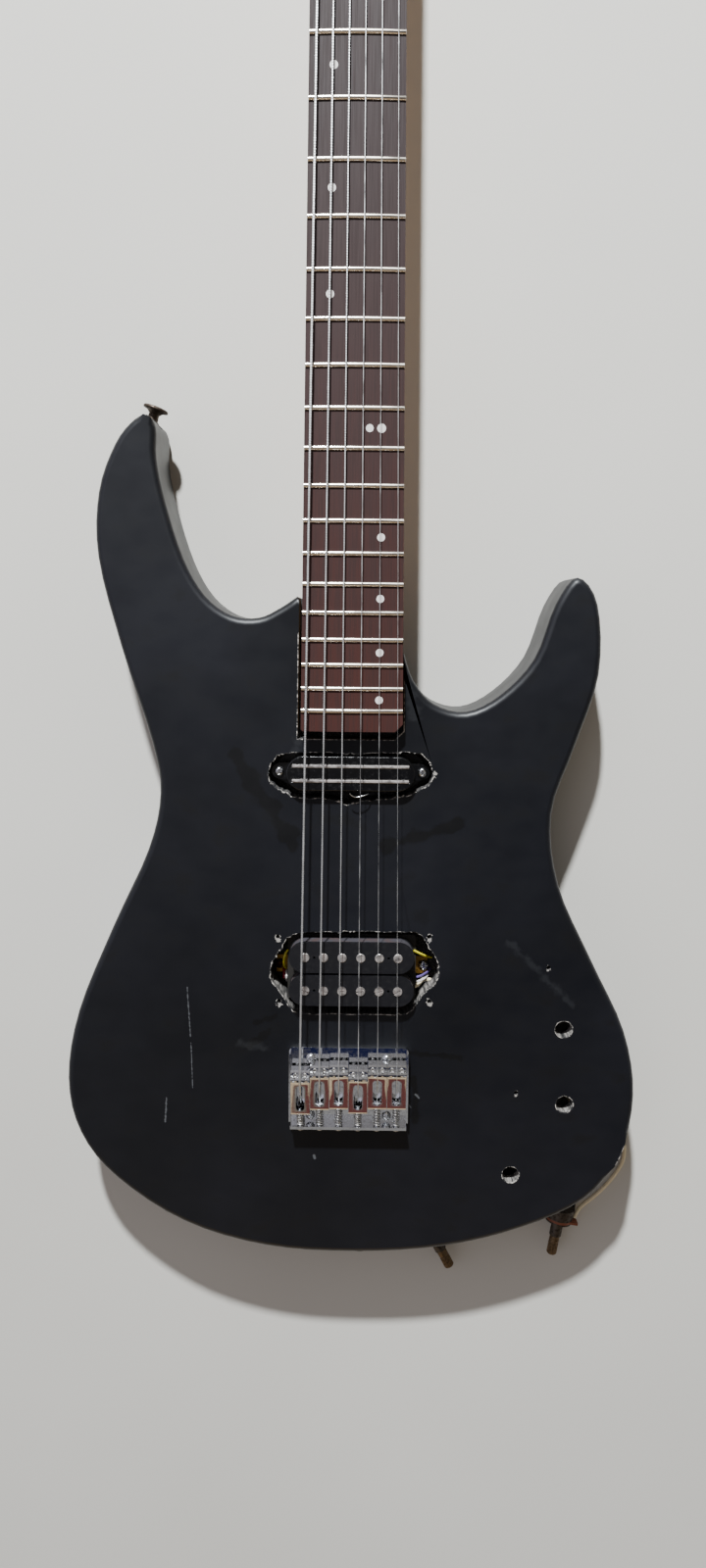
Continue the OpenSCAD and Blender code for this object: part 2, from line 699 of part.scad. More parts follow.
module pickup_magnets() {
    color("#5d5f63") {
        translate([humbucker_x - 30, humbucker_y - 6, plate_up + base_t])
            cube([60, 12, magnet_h]);
        at_neck_pickup(neck_floor + pickup_base_t)
            translate([-25, -(blade_gap - blade_t) / 2, 0])
                cube([50, blade_gap - blade_t, 4]);
    }
}

module pole_keeper() {
    color("#8b8d90")
    difference() {
        translate([humbucker_x - 30, row_y(-1) - 3.1, plate_up + base_t])
            cube([60, 6.2, magnet_h]);
        for (i = [0:5]) translate([pole_x(i), row_y(-1), plate_up])
            cylinder(d = 3, h = 9);
    }
}

module pole_slugs() {
    color("#a9a7a5")
    for (i = [0:5]) translate([pole_x(i), row_y(1), plate_up + base_t])
        cylinder(d = slug_d, h = bobbin_top + 0.4 - plate_up - base_t);
}

module pole_screws() {
    color("#b7b5b2")
    for (i = [0:5]) translate([pole_x(i), row_y(-1), 0]) difference() {
        union() {
            translate([0, 0, plate_up - 4]) cylinder(d = 3, h = bobbin_top - plate_up);
            translate([0, 0, bobbin_z]) cylinder(d = 4, h = bobbin_top - bobbin_z - 2);
            translate([0, 0, bobbin_top - 2]) cylinder(d = slug_d, h = 2.7);
        }
        rotate([0, 0, 10 * (i - 2)]) translate([-4, -0.45, bobbin_top - 0.4]) cube([8, 0.9, 3]);
    }
}

module humbucker_screw_bass() {
    color("#6b4a34") translate([humbucker_screw_places[0][0], leg_y, tab_top])
        screw(pickup_screw_d, pickup_screw_len, 5.4, 2.4, 0.8, true);
}

module humbucker_screw_treble() {
    color("#b5b2ae") translate([humbucker_screw_places[1][0], leg_y, tab_top])
        screw(pickup_screw_d, pickup_screw_len, 6.4, 2.4, 0.9, true);
}

// ---- bridge ----

bridge_screw_d = 3;
bridge_screw_len = 24;
plate_rear_y = plate_front_y - plate_len;

module bridge_plate() {
    wall_in = plate_w / 2 - rim_t;
    color("#c9cbd0")
    difference() {
        union() {
            translate([0, plate_front_y - plate_len / 2, body_t]) linear_extrude(plate_t)
                round_rect(plate_w, plate_len, 2.5);
            for (s = [0, 1]) translate([s * (plate_w - rim_t) - plate_w / 2,
                    plate_rear_y + 2.5, body_t])
                cube([rim_t, plate_len - 5, plate_t + rim_h]);
            translate([-wall_in, plate_rear_y, body_t]) cube([2 * wall_in, wall_t, rear_wall_h]);
        }
        for (p = bridge_screw_places) translate([p[0], p[1], body_t - eps])
            cylinder(d = bridge_screw_d, h = plate_t + 2 * eps);
        for (i = [0:5]) translate([bridge_x(i), string_hole_y, body_t - eps])
            cylinder(d = string_hole_d, h = plate_t + 2 * eps);
        for (i = [0:5]) translate([bridge_x(i), plate_rear_y - eps, intonation_z])
            rotate([-90, 0, 0]) cylinder(d = intonation_d + 0.4, h = wall_t + 2 * eps);
    }
}

module bridge_screws() {
    color("#b9bbc0")
    for (p = bridge_screw_places) translate([p[0], p[1], plate_z])
        screw(bridge_screw_d, bridge_screw_len, 5, 1.7, 0.8, true);
}

// Saddle, from the side: the crest stands at y = 0, heights are over the plate
saddle_low = 2;
saddle_front = 4.2;
saddle_back = 22;
saddle_side = [[saddle_front, saddle_low], [saddle_front, 8.2], [saddle_front - 1, 8.8],
    [1.6, 8.8], [1.2, crest_z - plate_z - 0.5], [0.5, crest_z - plate_z],
    [-0.5, crest_z - plate_z], [-1.4, crest_z - plate_z - 0.8], [-3, 9.4],
    [-saddle_back + 1, 7.2], [-saddle_back, 6.6], [-saddle_back, saddle_low]];
slot_from = 4.6;
slot_to = 19.6;
slot_wide = 4.6;
grub_d = 2.2;
grub_x = 2.6;
grub_y = 1.7;
intonation_d = 2.6;
intonation_in = 1.6;

module at_saddle(i) {
    translate([bridge_x(i), -set_back[i], plate_z]) children();
}

module saddles() {
    color("#c4c6ca")
    for (i = [0:5]) at_saddle(i) difference() {
        translate([-saddle_w / 2, 0, 0]) rotate([90, 0, 90]) linear_extrude(saddle_w)
            polygon(saddle_side);
        translate([0, -(slot_from + slot_to) / 2, -eps]) rotate([0, 0, 90])
            linear_extrude(20) stadium(slot_to - slot_from, slot_wide);
        for (s = [-1, 1]) translate([s * grub_x, grub_y, 0]) cylinder(d = grub_d, h = 20);
        translate([0, -saddle_back - eps, intonation_z - plate_z]) rotate([-90, 0, 0])
            cylinder(d = intonation_d, h = intonation_in + eps);
        // notch that guides the string over the crest
        translate([-string_d[i] / 2 - 0.05, -4, crest_z - plate_z - string_d[i] * 0.3])
            cube([string_d[i] + 0.1, 9, 4]);
    }
}

module saddle_height_screws() {
    color("#9b9da2")
    for (i = [0:5]) at_saddle(i) for (s = [-1, 1]) translate([s * grub_x, grub_y, 0])
        difference() {
            cylinder(d = grub_d, h = 9);
            translate([0, 0, 7.8]) cylinder(d = 1.3, h = 2, $fn = 6);
        }
}

module intonation_screws() {
    color("#b9bbc0")
    for (i = [0:5]) translate([bridge_x(i), plate_rear_y, intonation_z]) rotate([90, 0, 0])
        screw(intonation_d, -plate_rear_y - set_back[i] - saddle_back + intonation_in,
            4.6, 1.6, 0.7, true);
}

spring_turns = 6;
spring_r = 1.95;
spring_wire = 0.5;

module intonation_springs() {
    color("#a5a7ab")
    for (i = [0:5]) {
        y0 = plate_rear_y + wall_t + spring_wire;
        y1 = -set_back[i] - saddle_back - spring_wire;
        translate([bridge_x(i), 0, intonation_z])
            tube([for (k = [0:spring_turns * 8]) [spring_r * cos(45 * k),
                y0 + (y1 - y0) * k / (spring_turns * 8), spring_r * sin(45 * k)]],
                spring_wire / 2, 5);
    }
}

// ---- strings ----

// A string's run: up through the body, over the saddle and the nut, then round its post
string_z = nut_slot_z;
wrap_z = waist_z + 4.2;
ball_z = 3;

function string_run(i) =
    let (x = bridge_x(i), r = string_d[i] / 2, c = -set_back[i], hole = string_hole_y,
        px = post_x(i), py = post_y(i), w = wrap_r(i), pitch = string_d[i] + 0.15)
    concat(
        [[x, hole, ball_z], [x, hole, body_t - 4], [x, hole + 0.15, plate_z - 0.4],
            [x, hole + 0.9, plate_z + 1]],
        [[x, c - 2.6, crest_z + r - 1.1], [x, c - 1.1, crest_z + r * 0.7 - 0.15],
            [x, c, crest_z + r * 0.7 + 0.02], [x, c + 4, crest_z + r * 0.7 - 0.02]],
        [[nut_x(i), scale_len, string_z + r + 0.02],
            [nut_x(i) + (string_x(i, scale_len + nut_t) - nut_x(i)), scale_len + nut_t,
                string_z + r]],
        [for (k = [0:26]) [px + w * cos(15 * k), py + w * sin(15 * k),
            wrap_z - pitch * k / 24]],
        [for (k = [28:2:50]) [px + w * cos(15 * k), py + w * sin(15 * k),
            wrap_z - pitch * k / 24]]);

module string_line(i) {
    tube(string_run(i), string_d[i] / 2, 6);
    translate([bridge_x(i), string_hole_y, ball_z - 2]) cylinder(d = 4, h = 3.2);
}

module wound_strings() {
    color("#b4ada3") for (i = [0:2]) string_line(i);
}

module plain_strings() {
    color("#c9c6c2") for (i = [3:5]) string_line(i);
}

module string_ferrules() {
    color("#b9bbc0")
    for (i = [0:5]) translate([bridge_x(i), string_hole_y, 0.2]) difference() {
        cylinder(d = string_ferrule_d, h = string_ferrule_t - 0.2);
        translate([0, 0, -eps]) cylinder(d = 4.6, h = 5);
        translate([0, 0, -eps]) cylinder(d = string_hole_d, h = 20);
    }
}

// ---- strap buttons ----

button_h = 9.5;

module strap_button() {
    difference() {
        rotate_extrude() polygon([[0, 0], [4.6, 0], [4.6, 0.8], [3, 2.2], [2.7, 5.4], [4.2, 7],
            [6.5, 7.6], [6.7, 8.3], [6.2, 9.1], [4, button_h], [0, button_h]]);
        translate([0, 0, -eps]) cylinder(d = strap_hole_d, h = button_h + 2 * eps);
        translate([0, 0, button_h - 2]) cylinder(d = 6.2, h = 3);
    }
}

module strap_button_horn() {
    color("#4b443c") strap_seat(horn_button_pos, horn_button_turn) strap_button();
}

module strap_button_tail() {
    color("#4b443c") strap_seat(tail_button_pos, tail_button_turn) strap_button();
}

module strap_screws() {
    color("#54493e") {
        strap_seat(horn_button_pos, horn_button_turn) translate([0, 0, button_h - 2])
            screw(strap_hole_d, strap_screw_len, 6, 1.8, 0.9, true);
        strap_seat(tail_button_pos, tail_button_turn) translate([0, 0, button_h - 2])
            screw(strap_hole_d, strap_screw_len, 6, 1.8, 0.9, true);
    }
}

// ---- tuners ----

house_t = 11;
house_wall = 1.2;
house_low = head_back - house_t;
house_x = 8;
house_y_from = -11.5;
house_y_to = 7.5;
tuner_screw_x = 0;
tuner_screw_y = 9.6;
tuner_screw_d = 2;
worm_shaft_d = 3.6;
edge_out = 24;

module at_tuner(i) {
    translate([post_x(i), post_y(i), 0]) rotate([0, 0, -row_turn]) children();
}

module tuner_housings() {
    color("#2b2d31")
    for (i = [0:5]) at_tuner(i) difference() {
        union() {
            translate([-house_x, house_y_from, house_low])
                cube([2 * house_x, house_y_to - house_y_from, house_t]);
            translate([-2.6, house_y_to, head_back - 1.6]) cube([5.2, 4.6, 1.6]);
        }
        translate([-house_x + house_wall, house_y_from + house_wall, house_low + house_wall])
            cube([2 * (house_x - house_wall), house_y_to - house_y_from - 2 * house_wall,
                house_t - 2 * house_wall]);
        translate([0, 0, head_back - 3]) cylinder(d = post_d + 2 * run, h = 6);
        translate([-house_x - eps, -worm_off, worm_z]) rotate([0, 90, 0])
            cylinder(d = worm_shaft_d + 2 * run, h = 6);
        translate([tuner_screw_x, tuner_screw_y, head_back - 3])
            cylinder(d = tuner_screw_d, h = 6);
    }
}

module tuner_bushings() {
    color("#2b2d31")
    for (i = [0:5]) translate([post_x(i), post_y(i), 0]) difference() {
        union() {
            translate([0, 0, head_back]) cylinder(d = bushing_d, h = head_t);
            translate([0, 0, head_z]) cylinder(d = 13, h = washer_t);
        }
        translate([0, 0, head_back - eps]) cylinder(d = post_d + 2 * run, h = 30);
    }
}

module tuner_screws() {
    color("#2b2d31")
    for (i = [0:5]) at_tuner(i) translate([tuner_screw_x, tuner_screw_y, head_back - 1.6])
        rotate([180, 0, 0]) screw(tuner_screw_d, 9, 3.8, 1.3, 0.6, true);
}

// Post with its worm wheel below and a string waist above
module tuner_post(i) {
    wheel_t = 4;
    color("#8e9095")
    translate([post_x(i), post_y(i), 0]) difference() {
        union() {
            translate([0, 0, worm_z - wheel_t / 2]) cylinder(d = wheel_d, h = wheel_t);
            translate([0, 0, worm_z]) cylinder(d = post_d, h = waist_z - worm_z);
            translate([0, 0, waist_z]) cylinder(d = waist_d, h = post_top - waist_z);
            translate([0, 0, post_top - 4]) cylinder(d = post_d, h = 4);
        }
        rotate([0, 0, 30 * i]) translate([-post_d, -0.5, post_top - 3])
            cube([2 * post_d, 1, 4]);
    }
}

// Button with its worm: they turn as one on the axis that leaves the housing
module tuner_button(i) {
    color("#2b2d31")
    at_tuner(i) translate([0, -worm_off, worm_z]) rotate([0, -90, 0]) {
        translate([0, 0, -5.4]) cylinder(d = worm_d, h = 11.8);
        translate([0, 0, 6]) cylinder(d = worm_shaft_d, h = edge_out - 8);
        translate([0, 0, house_x + gap]) cylinder(d = 6.4, h = 3);
        translate([-3.2, 0, edge_out - 8]) rotate([90, 0, 90]) linear_extrude(6.4)
            stadium_upright();
    }
}

// Flat face of a button: wide, with round shoulders
module stadium_upright() {
    translate([0, 7.5]) round_rect(17, 14, 5.5);
}

// ---- pots on their leads ----

module at_pot(k) {
    translate(can_front[k]) rotate([0, 0, can_turn[k]]) rotate([0, 90, 0]) children();
}

module pot_housings() {
    color("#8d8a83")
    for (k = [0, 1]) at_pot(k) {
        difference() {
            union() {
                translate([0, 0, -front_t]) cylinder(d = can_d - 0.4, h = front_t);
                cylinder(d = 7, h = bushing_len);
            }
            translate([0, 0, -front_t - eps]) cylinder(d = shaft_d + 2 * run, h = 20);
        }
        difference() {
            translate([0, 0, -can_len]) cylinder(d = can_d, h = can_len - front_t - wafer_t);
            translate([0, 0, -can_len + 0.7])
                cylinder(d = can_d - 1.4, h = can_len);
        }
    }
}

lug_out = 10.5;

module pot_wafers() {
    color("#7a3a24")
    for (k = [0, 1]) at_pot(k) translate([0, 0, -front_t - wafer_t]) difference() {
        linear_extrude(wafer_t) {
            circle(d = can_d - 0.4);
            translate([-5.5, lug_side[k] > 0 ? 0 : -lug_out]) square([11, lug_out]);
        }
        translate([0, 0, -eps]) cylinder(d = shaft_d + 1, h = wafer_t + 2 * eps);
    }
}

module pot_shaft(k) {
    wiper_z = -front_t - wafer_t - 2.2;
    color("#a08e63")
    at_pot(k) difference() {
        union() {
            translate([0, 0, wiper_z]) cylinder(d = shaft_d, h = bushing_len + shaft_out - wiper_z);
            translate([0, 0, wiper_z - 1]) cylinder(d = 11, h = 1.5);
        }
        translate([-shaft_d, -0.5, bushing_len + shaft_out - 5]) cube([2 * shaft_d, 1, 6]);
    }
}

// ---- wires ----

lead_d = 2.2;
thin_d = 1.8;
hook_d = 1.3;

// Places on the drilled way's axis and in the jack hole, then on a wafer's lug
function way_at(t) = wire_way_from + t * [cos(wire_way_turn), sin(wire_way_turn), 0];
jack_low = body_t / 2 - jack_hole_d / 2 + lead_d / 2 + 0.1;
function jack_at(t) = [jack_pos[0] + t * cos(jack_turn), jack_pos[1] + t * sin(jack_turn), jack_low];
function solder_at(k, up) = can_front[k] + [0, 0, up]
    - (front_t + wafer_t + 0.2) * [cos(can_turn[k]), sin(can_turn[k]), 0]
    + lug_side[k] * (lug_out - 1.2) * [-sin(can_turn[k]), cos(can_turn[k]), 0];

// From the bridge pickup through the drilled way and the cavity to the jack hole
inner_points = concat(
    [[30, humbucker_y - 10.6, plate_up - 1.2], [36.5, humbucker_y - 12, plate_up - 2.6],
        [41, humbucker_y - 9.5, wire_way_from[2] + 0.9]],
    [way_at(8), way_at(22), way_at(48)],
    [[98, 14 * stretch, jack_low + 12], [112, -12 * stretch, jack_low + 5],
        [128, -36 * stretch, jack_low], [141, -47.4 * stretch, jack_low]],
    [jack_at(-4)]);
// From the jack hole down to the ground and round the rim to the nearer pot
cream_points = concat([jack_at(-4), jack_at(1)],
    [for (p = [[158, -56, 10], [161, -61, 5], [164, -68, 1.6], [165, -74, 1.2], [164, -81, 1.2],
        [161, -87, 1.2], [157, -93, 1.2], [152, -99, 1.2], [147, -104, 1.2], [142, -108, 1.6],
        [138.5, -110, 4], [136, -112, 7]])
        [p[0], p[1] * stretch, p[2]]],
    [solder_at(1, 0)]);
// From that pot along the rim to the other
black_points = concat([solder_at(1, -3.4)],
    [for (p = [[135.5, -110, 4], [136, -105, 1.6], [133, -101, 1], [127, -99, 1], [120, -100, 1],
        [112, -103, 1], [104, -106, 1], [96, -109, 1], [88, -112, 1], [80, -115, 1],
        [72, -116, 1], [64, -115, 1], [58, -114, 2.5], [56.5, -116, 6]])
        [p[0], p[1] * stretch, p[2]]],
    [solder_at(0, 0)]);

module wiring_inner() {
    color("#d8cfae") tube(smooth(inner_points, 3), lead_d / 2, 8);
}

module lead_cream() {
    color("#d8cfae") tube(smooth(cream_points, 4), lead_d / 2, 8);
}

module lead_black() {
    color("#1c1c1e") tube(smooth(black_points, 4), thin_d / 2, 8);
}

// Short coil wires in the ears of the bridge pickup's route
yellow_points = [[[-34, 60, 37.6], [-35.6, 57.5, 38.5], [-36.3, 53.5, 38], [-36.2, 50, 35],
    [-35.6, 47, 30]],
    [[35, 60.5, 38], [38.5, 58.6, 37.4], [42, 56.6, 35.6], [45, 55, 32.5], [45.8, 54, 28]]];
white_points = [[[-35.5, 45.6, 29.6], [-35.2, 43.5, 33], [-35.2, 40.6, 31], [-35.3, 38.8, 27]],
    [[36.9, 42, 36], [39, 42.2, 34.5], [41.5, 42.6, 31.6], [43.6, 43.6, 28]]];
red_points = [[[-37, 46.4, 28], [-36.6, 44, 31.6], [-36.7, 41.8, 31], [-36.8, 40.2, 27.2]]];
purple_points = [[[36.8, 44, 34], [39.6, 44.6, 33], [43, 45.6, 29.8], [45, 46.6, 26.6]]];

module hook_wires(list, tint) {
    color(tint) for (p = list) tube(smooth(p, 3), hook_d / 2, 6);
}

module lead_yellow() { hook_wires(yellow_points, "#c8c22a"); }
module lead_white() { hook_wires(white_points, "#d9d4cf"); }
module lead_red() { hook_wires(red_points, "#a01c34"); }
module lead_purple() { hook_wires(purple_points, "#5a4a86"); }

body();
neck();
fretboard();
frets();
inlay_dots();
nut();
truss_rod();
neck_ferrules();
neck_screws();
neck_pickup_base();
neck_pickup_cover();
neck_pickup_blades();
neck_pickup_screws();
humbucker_baseplate();
humbucker_bobbins();
pickup_coils();
pickup_magnets();
pole_keeper();
pole_slugs();
pole_screws();
humbucker_screw_bass();
humbucker_screw_treble();
bridge_plate();
bridge_screws();
saddles();
saddle_height_screws();
intonation_screws();
intonation_springs();
wound_strings();
plain_strings();
string_ferrules();
strap_button_horn();
strap_button_tail();
strap_screws();
tuner_housings();
tuner_bushings();
tuner_screws();
tuner_post(0);  // tuner_post_1
tuner_post(1);  // tuner_post_2
tuner_post(2);  // tuner_post_3
tuner_post(3);  // tuner_post_4
tuner_post(4);  // tuner_post_5
tuner_post(5);  // tuner_post_6
tuner_button(0);  // tuner_button_1
tuner_button(1);  // tuner_button_2
tuner_button(2);  // tuner_button_3
tuner_button(3);  // tuner_button_4
tuner_button(4);  // tuner_button_5
tuner_button(5);  // tuner_button_6
pot_housings();
pot_wafers();
pot_shaft(0);  // pot_shaft_1
pot_shaft(1);  // pot_shaft_2
wiring_inner();
lead_cream();
lead_black();
lead_yellow();
lead_white();
lead_red();
lead_purple();
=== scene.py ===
# %% [markdown]
# # A worn electric guitar, lying on its back
# The guitar comes in as a fixed frame: every part already has its real size and place, in
# metres. What is left to make is what the eye reads: the lacquer and its wear, the torn edges
# of the routes, the plating, the wood, the leads, the light and the camera.

# %% Load the frame
import json
import math
import bmesh
import bpy
from mathutils import Matrix, Vector, noise


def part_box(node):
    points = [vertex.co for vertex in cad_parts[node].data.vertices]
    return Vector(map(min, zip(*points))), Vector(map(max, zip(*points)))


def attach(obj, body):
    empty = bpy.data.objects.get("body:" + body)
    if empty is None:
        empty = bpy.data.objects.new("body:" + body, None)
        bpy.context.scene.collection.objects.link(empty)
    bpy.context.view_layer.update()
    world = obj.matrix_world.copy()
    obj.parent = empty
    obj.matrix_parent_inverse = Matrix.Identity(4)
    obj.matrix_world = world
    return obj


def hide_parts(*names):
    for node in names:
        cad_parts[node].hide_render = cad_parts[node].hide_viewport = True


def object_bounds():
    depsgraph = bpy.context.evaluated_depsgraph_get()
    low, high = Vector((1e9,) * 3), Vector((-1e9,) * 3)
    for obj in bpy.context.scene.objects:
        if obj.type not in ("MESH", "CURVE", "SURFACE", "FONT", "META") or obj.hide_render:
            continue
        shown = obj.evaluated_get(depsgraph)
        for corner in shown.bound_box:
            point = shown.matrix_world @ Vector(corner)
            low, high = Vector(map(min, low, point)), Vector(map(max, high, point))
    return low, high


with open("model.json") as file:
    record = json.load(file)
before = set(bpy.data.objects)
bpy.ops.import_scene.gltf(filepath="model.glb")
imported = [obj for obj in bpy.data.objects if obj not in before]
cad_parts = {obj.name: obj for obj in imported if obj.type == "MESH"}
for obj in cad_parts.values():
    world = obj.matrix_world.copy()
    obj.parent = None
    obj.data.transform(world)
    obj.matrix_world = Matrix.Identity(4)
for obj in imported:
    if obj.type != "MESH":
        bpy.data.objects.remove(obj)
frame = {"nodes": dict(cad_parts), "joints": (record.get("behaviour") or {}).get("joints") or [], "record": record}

mm = 0.001
cad_low, cad_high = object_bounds()
print("frame", [round(v, 3) for v in cad_high - cad_low], "m,", len(frame["nodes"]), "nodes")

# %% [markdown]
# ## Camera
# A phone held about 60 cm above the guitar, leaning a little towards the tail. A short lens
# from near by shows the inner sides of the horns, which a long lens from far off would hide.

# %% Camera
eye = Vector((6.16, 237.7, 609.3)) * mm
lean = [math.radians(a) for a in (-8.49, 0.61, 0.52)]
camera = bpy.data.objects.new("camera", bpy.data.cameras.new("camera"))
camera.data.sensor_width = 36
camera.data.lens = 24.75
camera.location = eye
camera.rotation_euler = lean
bpy.context.scene.collection.objects.link(camera)
bpy.context.scene.camera = camera
print("camera", [round(v, 3) for v in eye])

# %% [markdown]
# ## Finishes: the tools
# Every surface here is a real material with a way it was made, such as sprayed lacquer, drawn
# wire or moulded plastic. One function turns sRGB hex codes to linear colours, one adds a
# shader node, one starts a finish, and one makes a pattern whose size is given in millimetres.

# %% Colours, nodes and patterns
finishes = {}


def linear(code):
    parts = [int(code[i:i + 2], 16) / 255 for i in (1, 3, 5)]
    return tuple(c / 12.92 if c < 0.04045 else ((c + 0.055) / 1.055) ** 2.4 for c in parts) + (1.0,)


def used(value):
    """A node stands for the first of its outputs that is in use."""
    return next(s for s in value.outputs if s.enabled) if isinstance(value, bpy.types.Node) else value


def add(tree, kind, inputs=None, stops=None, **settings):
    """Adds a shader node with its settings. An input is a plain value, a node or an output."""
    node = tree.nodes.new("ShaderNode" + kind)
    for key, value in settings.items():
        setattr(node, key, value)
    for key, value in (inputs or {}).items():
        value = used(value)
        if isinstance(value, bpy.types.NodeSocket):
            tree.links.new(value, node.inputs[key])
        else:
            node.inputs[key].default_value = value
    for i, (place, colour) in enumerate(stops or []):
        stop = node.color_ramp.elements[i] if i < 2 else node.color_ramp.elements.new(place)
        stop.position, stop.color = place, linear(colour)
    return node


def start_finish(name, colour, roughness, metallic=0.0, ior=None, coat=0.0):
    """A new finish with one main shader. It returns the node tree and that shader."""
    material = bpy.data.materials.new(name)
    material.use_nodes = True
    material.diffuse_color = linear(colour)
    tree = material.node_tree
    tree.nodes.clear()
    shader = add(tree, "BsdfPrincipled", {"Base Color": linear(colour), "Roughness": roughness,
        "Metallic": metallic, "Coat Weight": coat})
    if ior:
        shader.inputs["IOR"].default_value = ior
    add(tree, "OutputMaterial", {"Surface": shader.outputs[0]})
    finishes[name] = material
    return tree, shader


def pattern(tree, size, stretch=(1, 1, 1), detail=3.0, shift=0.0):
    """A cloudy pattern of blobs about size millimetres wide, drawn out by stretch."""
    scaled = add(tree, "Mapping", {"Vector": add(tree, "TexCoord").outputs["Object"],
        "Location": (shift, shift, shift), "Scale": tuple(1 / (size * mm * s) for s in stretch)})
    return add(tree, "TexNoise", {"Vector": scaled.outputs[0], "Scale": 1.0,
        "Detail": detail}).outputs[0]


def steer(tree, shader, name, value):
    tree.links.new(used(value), shader.inputs[name])

# %% [markdown]
# ## The lacquer of the body
# Satin black polyurethane, sprayed thin over wood. Years of hands have polished it in patches,
# so the gloss changes softly from place to place while the colour hardly does. A thin coat
# sinks into the grain, which gives fine streaks along the body. Knocks went down to a reddish
# sealer and the bare wood, and long scratches only scraped it pale.

# %% Marks on the lacquer
face_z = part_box("bridge_plate")[0].z
bridge_low, bridge_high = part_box("bridge_plate")
bobbins_low, bobbins_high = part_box("humbucker_bobbins")
pickup_x = (bobbins_low.x + bobbins_high.x) / 2
pickup_y = (bobbins_low.y + bobbins_high.y) / 2


def near(tree, start, end, width, waver=0.0, soft=0.6):
    """1 within width millimetres of the line between two places of the frame, 0 away from it."""
    line = (Vector(end) - Vector(start)) * mm
    from_start = add(tree, "VectorMath", {0: add(tree, "TexCoord").outputs["Object"],
        1: tuple(Vector(start) * mm)}, operation="SUBTRACT").outputs[0]
    share = add(tree, "VectorMath", {0: from_start, 1: tuple(line / max(line.length_squared, 1e-12))},
        operation="DOT_PRODUCT").outputs["Value"]
    held = add(tree, "MapRange", {0: share, 1: 0.0, 2: 1.0, 3: 0, 4: 1})
    foot = add(tree, "VectorMath", {0: tuple(line), "Scale": held}, operation="SCALE").outputs[0]
    away = add(tree, "VectorMath", {0: from_start, 1: foot}, operation="DISTANCE").outputs["Value"]
    if waver:
        rough = add(tree, "MapRange", {0: pattern(tree, waver), 1: 0.3, 2: 0.7, 3: -width * 0.7 * mm,
            4: width * 0.7 * mm})
        away = add(tree, "Math", {0: away, 1: rough}, operation="ADD").outputs[0]
    return add(tree, "MapRange", {0: away, 1: width * soft * mm, 2: width * mm, 3: 1.0, 4: 0.0})


def several(tree, marks):
    """The union of several marks, each a tuple of near()'s values."""
    masks = [near(tree, *mark) for mark in marks]
    found = masks[0]
    for mask in masks[1:]:
        found = add(tree, "Math", {0: found, 1: mask}, operation="MAXIMUM")
    return found


top = face_z / mm
scratches = [((-88.7, 40, top), (-87.2, 12, top), 0.35, 1.5), ((-87, 8, top), (-86.4, -18, top), 0.3, 1.2),
    ((-101, -24, top), (-102, -38, top), 0.4, 1.5), ((-19, -57, top), (-18.6, -58.5, top), 0.9, 0),
    ((37, -20, top), (39, -22, top), 0.6, 1), ((33, -26, top), (34.5, -27.5, top), 0.5, 1)]
smears_of_polish = [((27, 216, top), (33, 190, top), 4, 3, 0.1), ((-26, 182, top), (-31, 166, top), 3, 4, 0.1),
    ((-76, 300, top), (-60, 246, top), 4, 6, 0.1), ((86, 68, top), (121, 33, top), 2.4, 4, 0.0),
    ((-46, 6, top), (-60, 8, top), 3, 4, 0.1)]
dark_rubs = [((34, 4, top), (62, 1.5, top), 1.6, 3), ((-44, 15, top), (-54, 8, top), 2.2, 4),
    ((-40, 24, top), (-52, 20, top), 1.8, 4), ((36, -12, top), (38, -36, top), 2.4, 6),
    ((-62, 168, top), (-30, 120, top), 5, 12), ((20, 120, top), (58, 132, top), 4, 12)]
stray = [(108, 53.5, top), (92.5, -18.5, top)]
ring = [(pickup_x / mm + x, pickup_y / mm + y, top) for x, y in ((-40, 18.5), (42, 19.5),
    (-39.5, -18), (42.5, -17))]
pale_chips = [(p, (p[0] + 0.2, p[1] - 1.6, p[2]), 1.5, 1.2) for p in ring] + [
    (p, (p[0], p[1] - 1, p[2]), 1.2, 1) for p in stray] + [
    ((-41.7, 154.4, top), (-33.9, 149.7, top), 1.3, 1.5), ((37.2, 154.7, top), (43.9, 159, top), 1.5, 1.5)]
bare_chips = [((129.5, 236, top - 4), (129, 240, top - 4), 1.9, 2.5),
    ((-34, -116, top - 6), (-30, -116.5, top - 6), 2.2, 3),
    ((17, -117, top - 6), (26, -116.5, top - 6), 2.0, 3),
    ((-84, -104, top - 5), (-81, -105, top - 5), 1.2, 2)]
print(len(scratches), "scratches,", len(pale_chips + bare_chips), "chips")

# %% Satin black polyurethane on wood
tree, lacquer = start_finish("satin_black_polyurethane", "#0b0c11", 0.4, ior=1.5)
lacquer.inputs["Specular IOR Level"].default_value = 0.36
haze = pattern(tree, 90, detail=4)
smears = pattern(tree, 16, stretch=(1.2, 0.8, 1), detail=5, shift=3.1)
grain = pattern(tree, 1.2, stretch=(1, 22, 1), detail=2, shift=1.7)
worn = add(tree, "Mix", {0: add(tree, "MapRange", {0: haze, 1: 0.35, 2: 0.7, 3: 0, 4: 1}),
    6: linear("#08090d"), 7: linear("#0d0e14")}, data_type="RGBA")
worn = add(tree, "Mix", {0: add(tree, "MapRange", {0: smears, 1: 0.58, 2: 0.7, 3: 0.0, 4: 0.6}),
    6: worn, 7: linear("#070709")}, data_type="RGBA")
worn = add(tree, "Mix", {0: add(tree, "MapRange", {0: several(tree, dark_rubs), 1: 0, 2: 1, 3: 0,
    4: 0.85}), 6: worn, 7: linear("#040405")}, data_type="RGBA")
polished = several(tree, smears_of_polish)
worn = add(tree, "Mix", {0: add(tree, "MapRange", {0: polished, 1: 0, 2: 1, 3: 0, 4: 0.035}), 6: worn,
    7: linear("#7b7d80")}, data_type="RGBA")
scraped = several(tree, scratches)
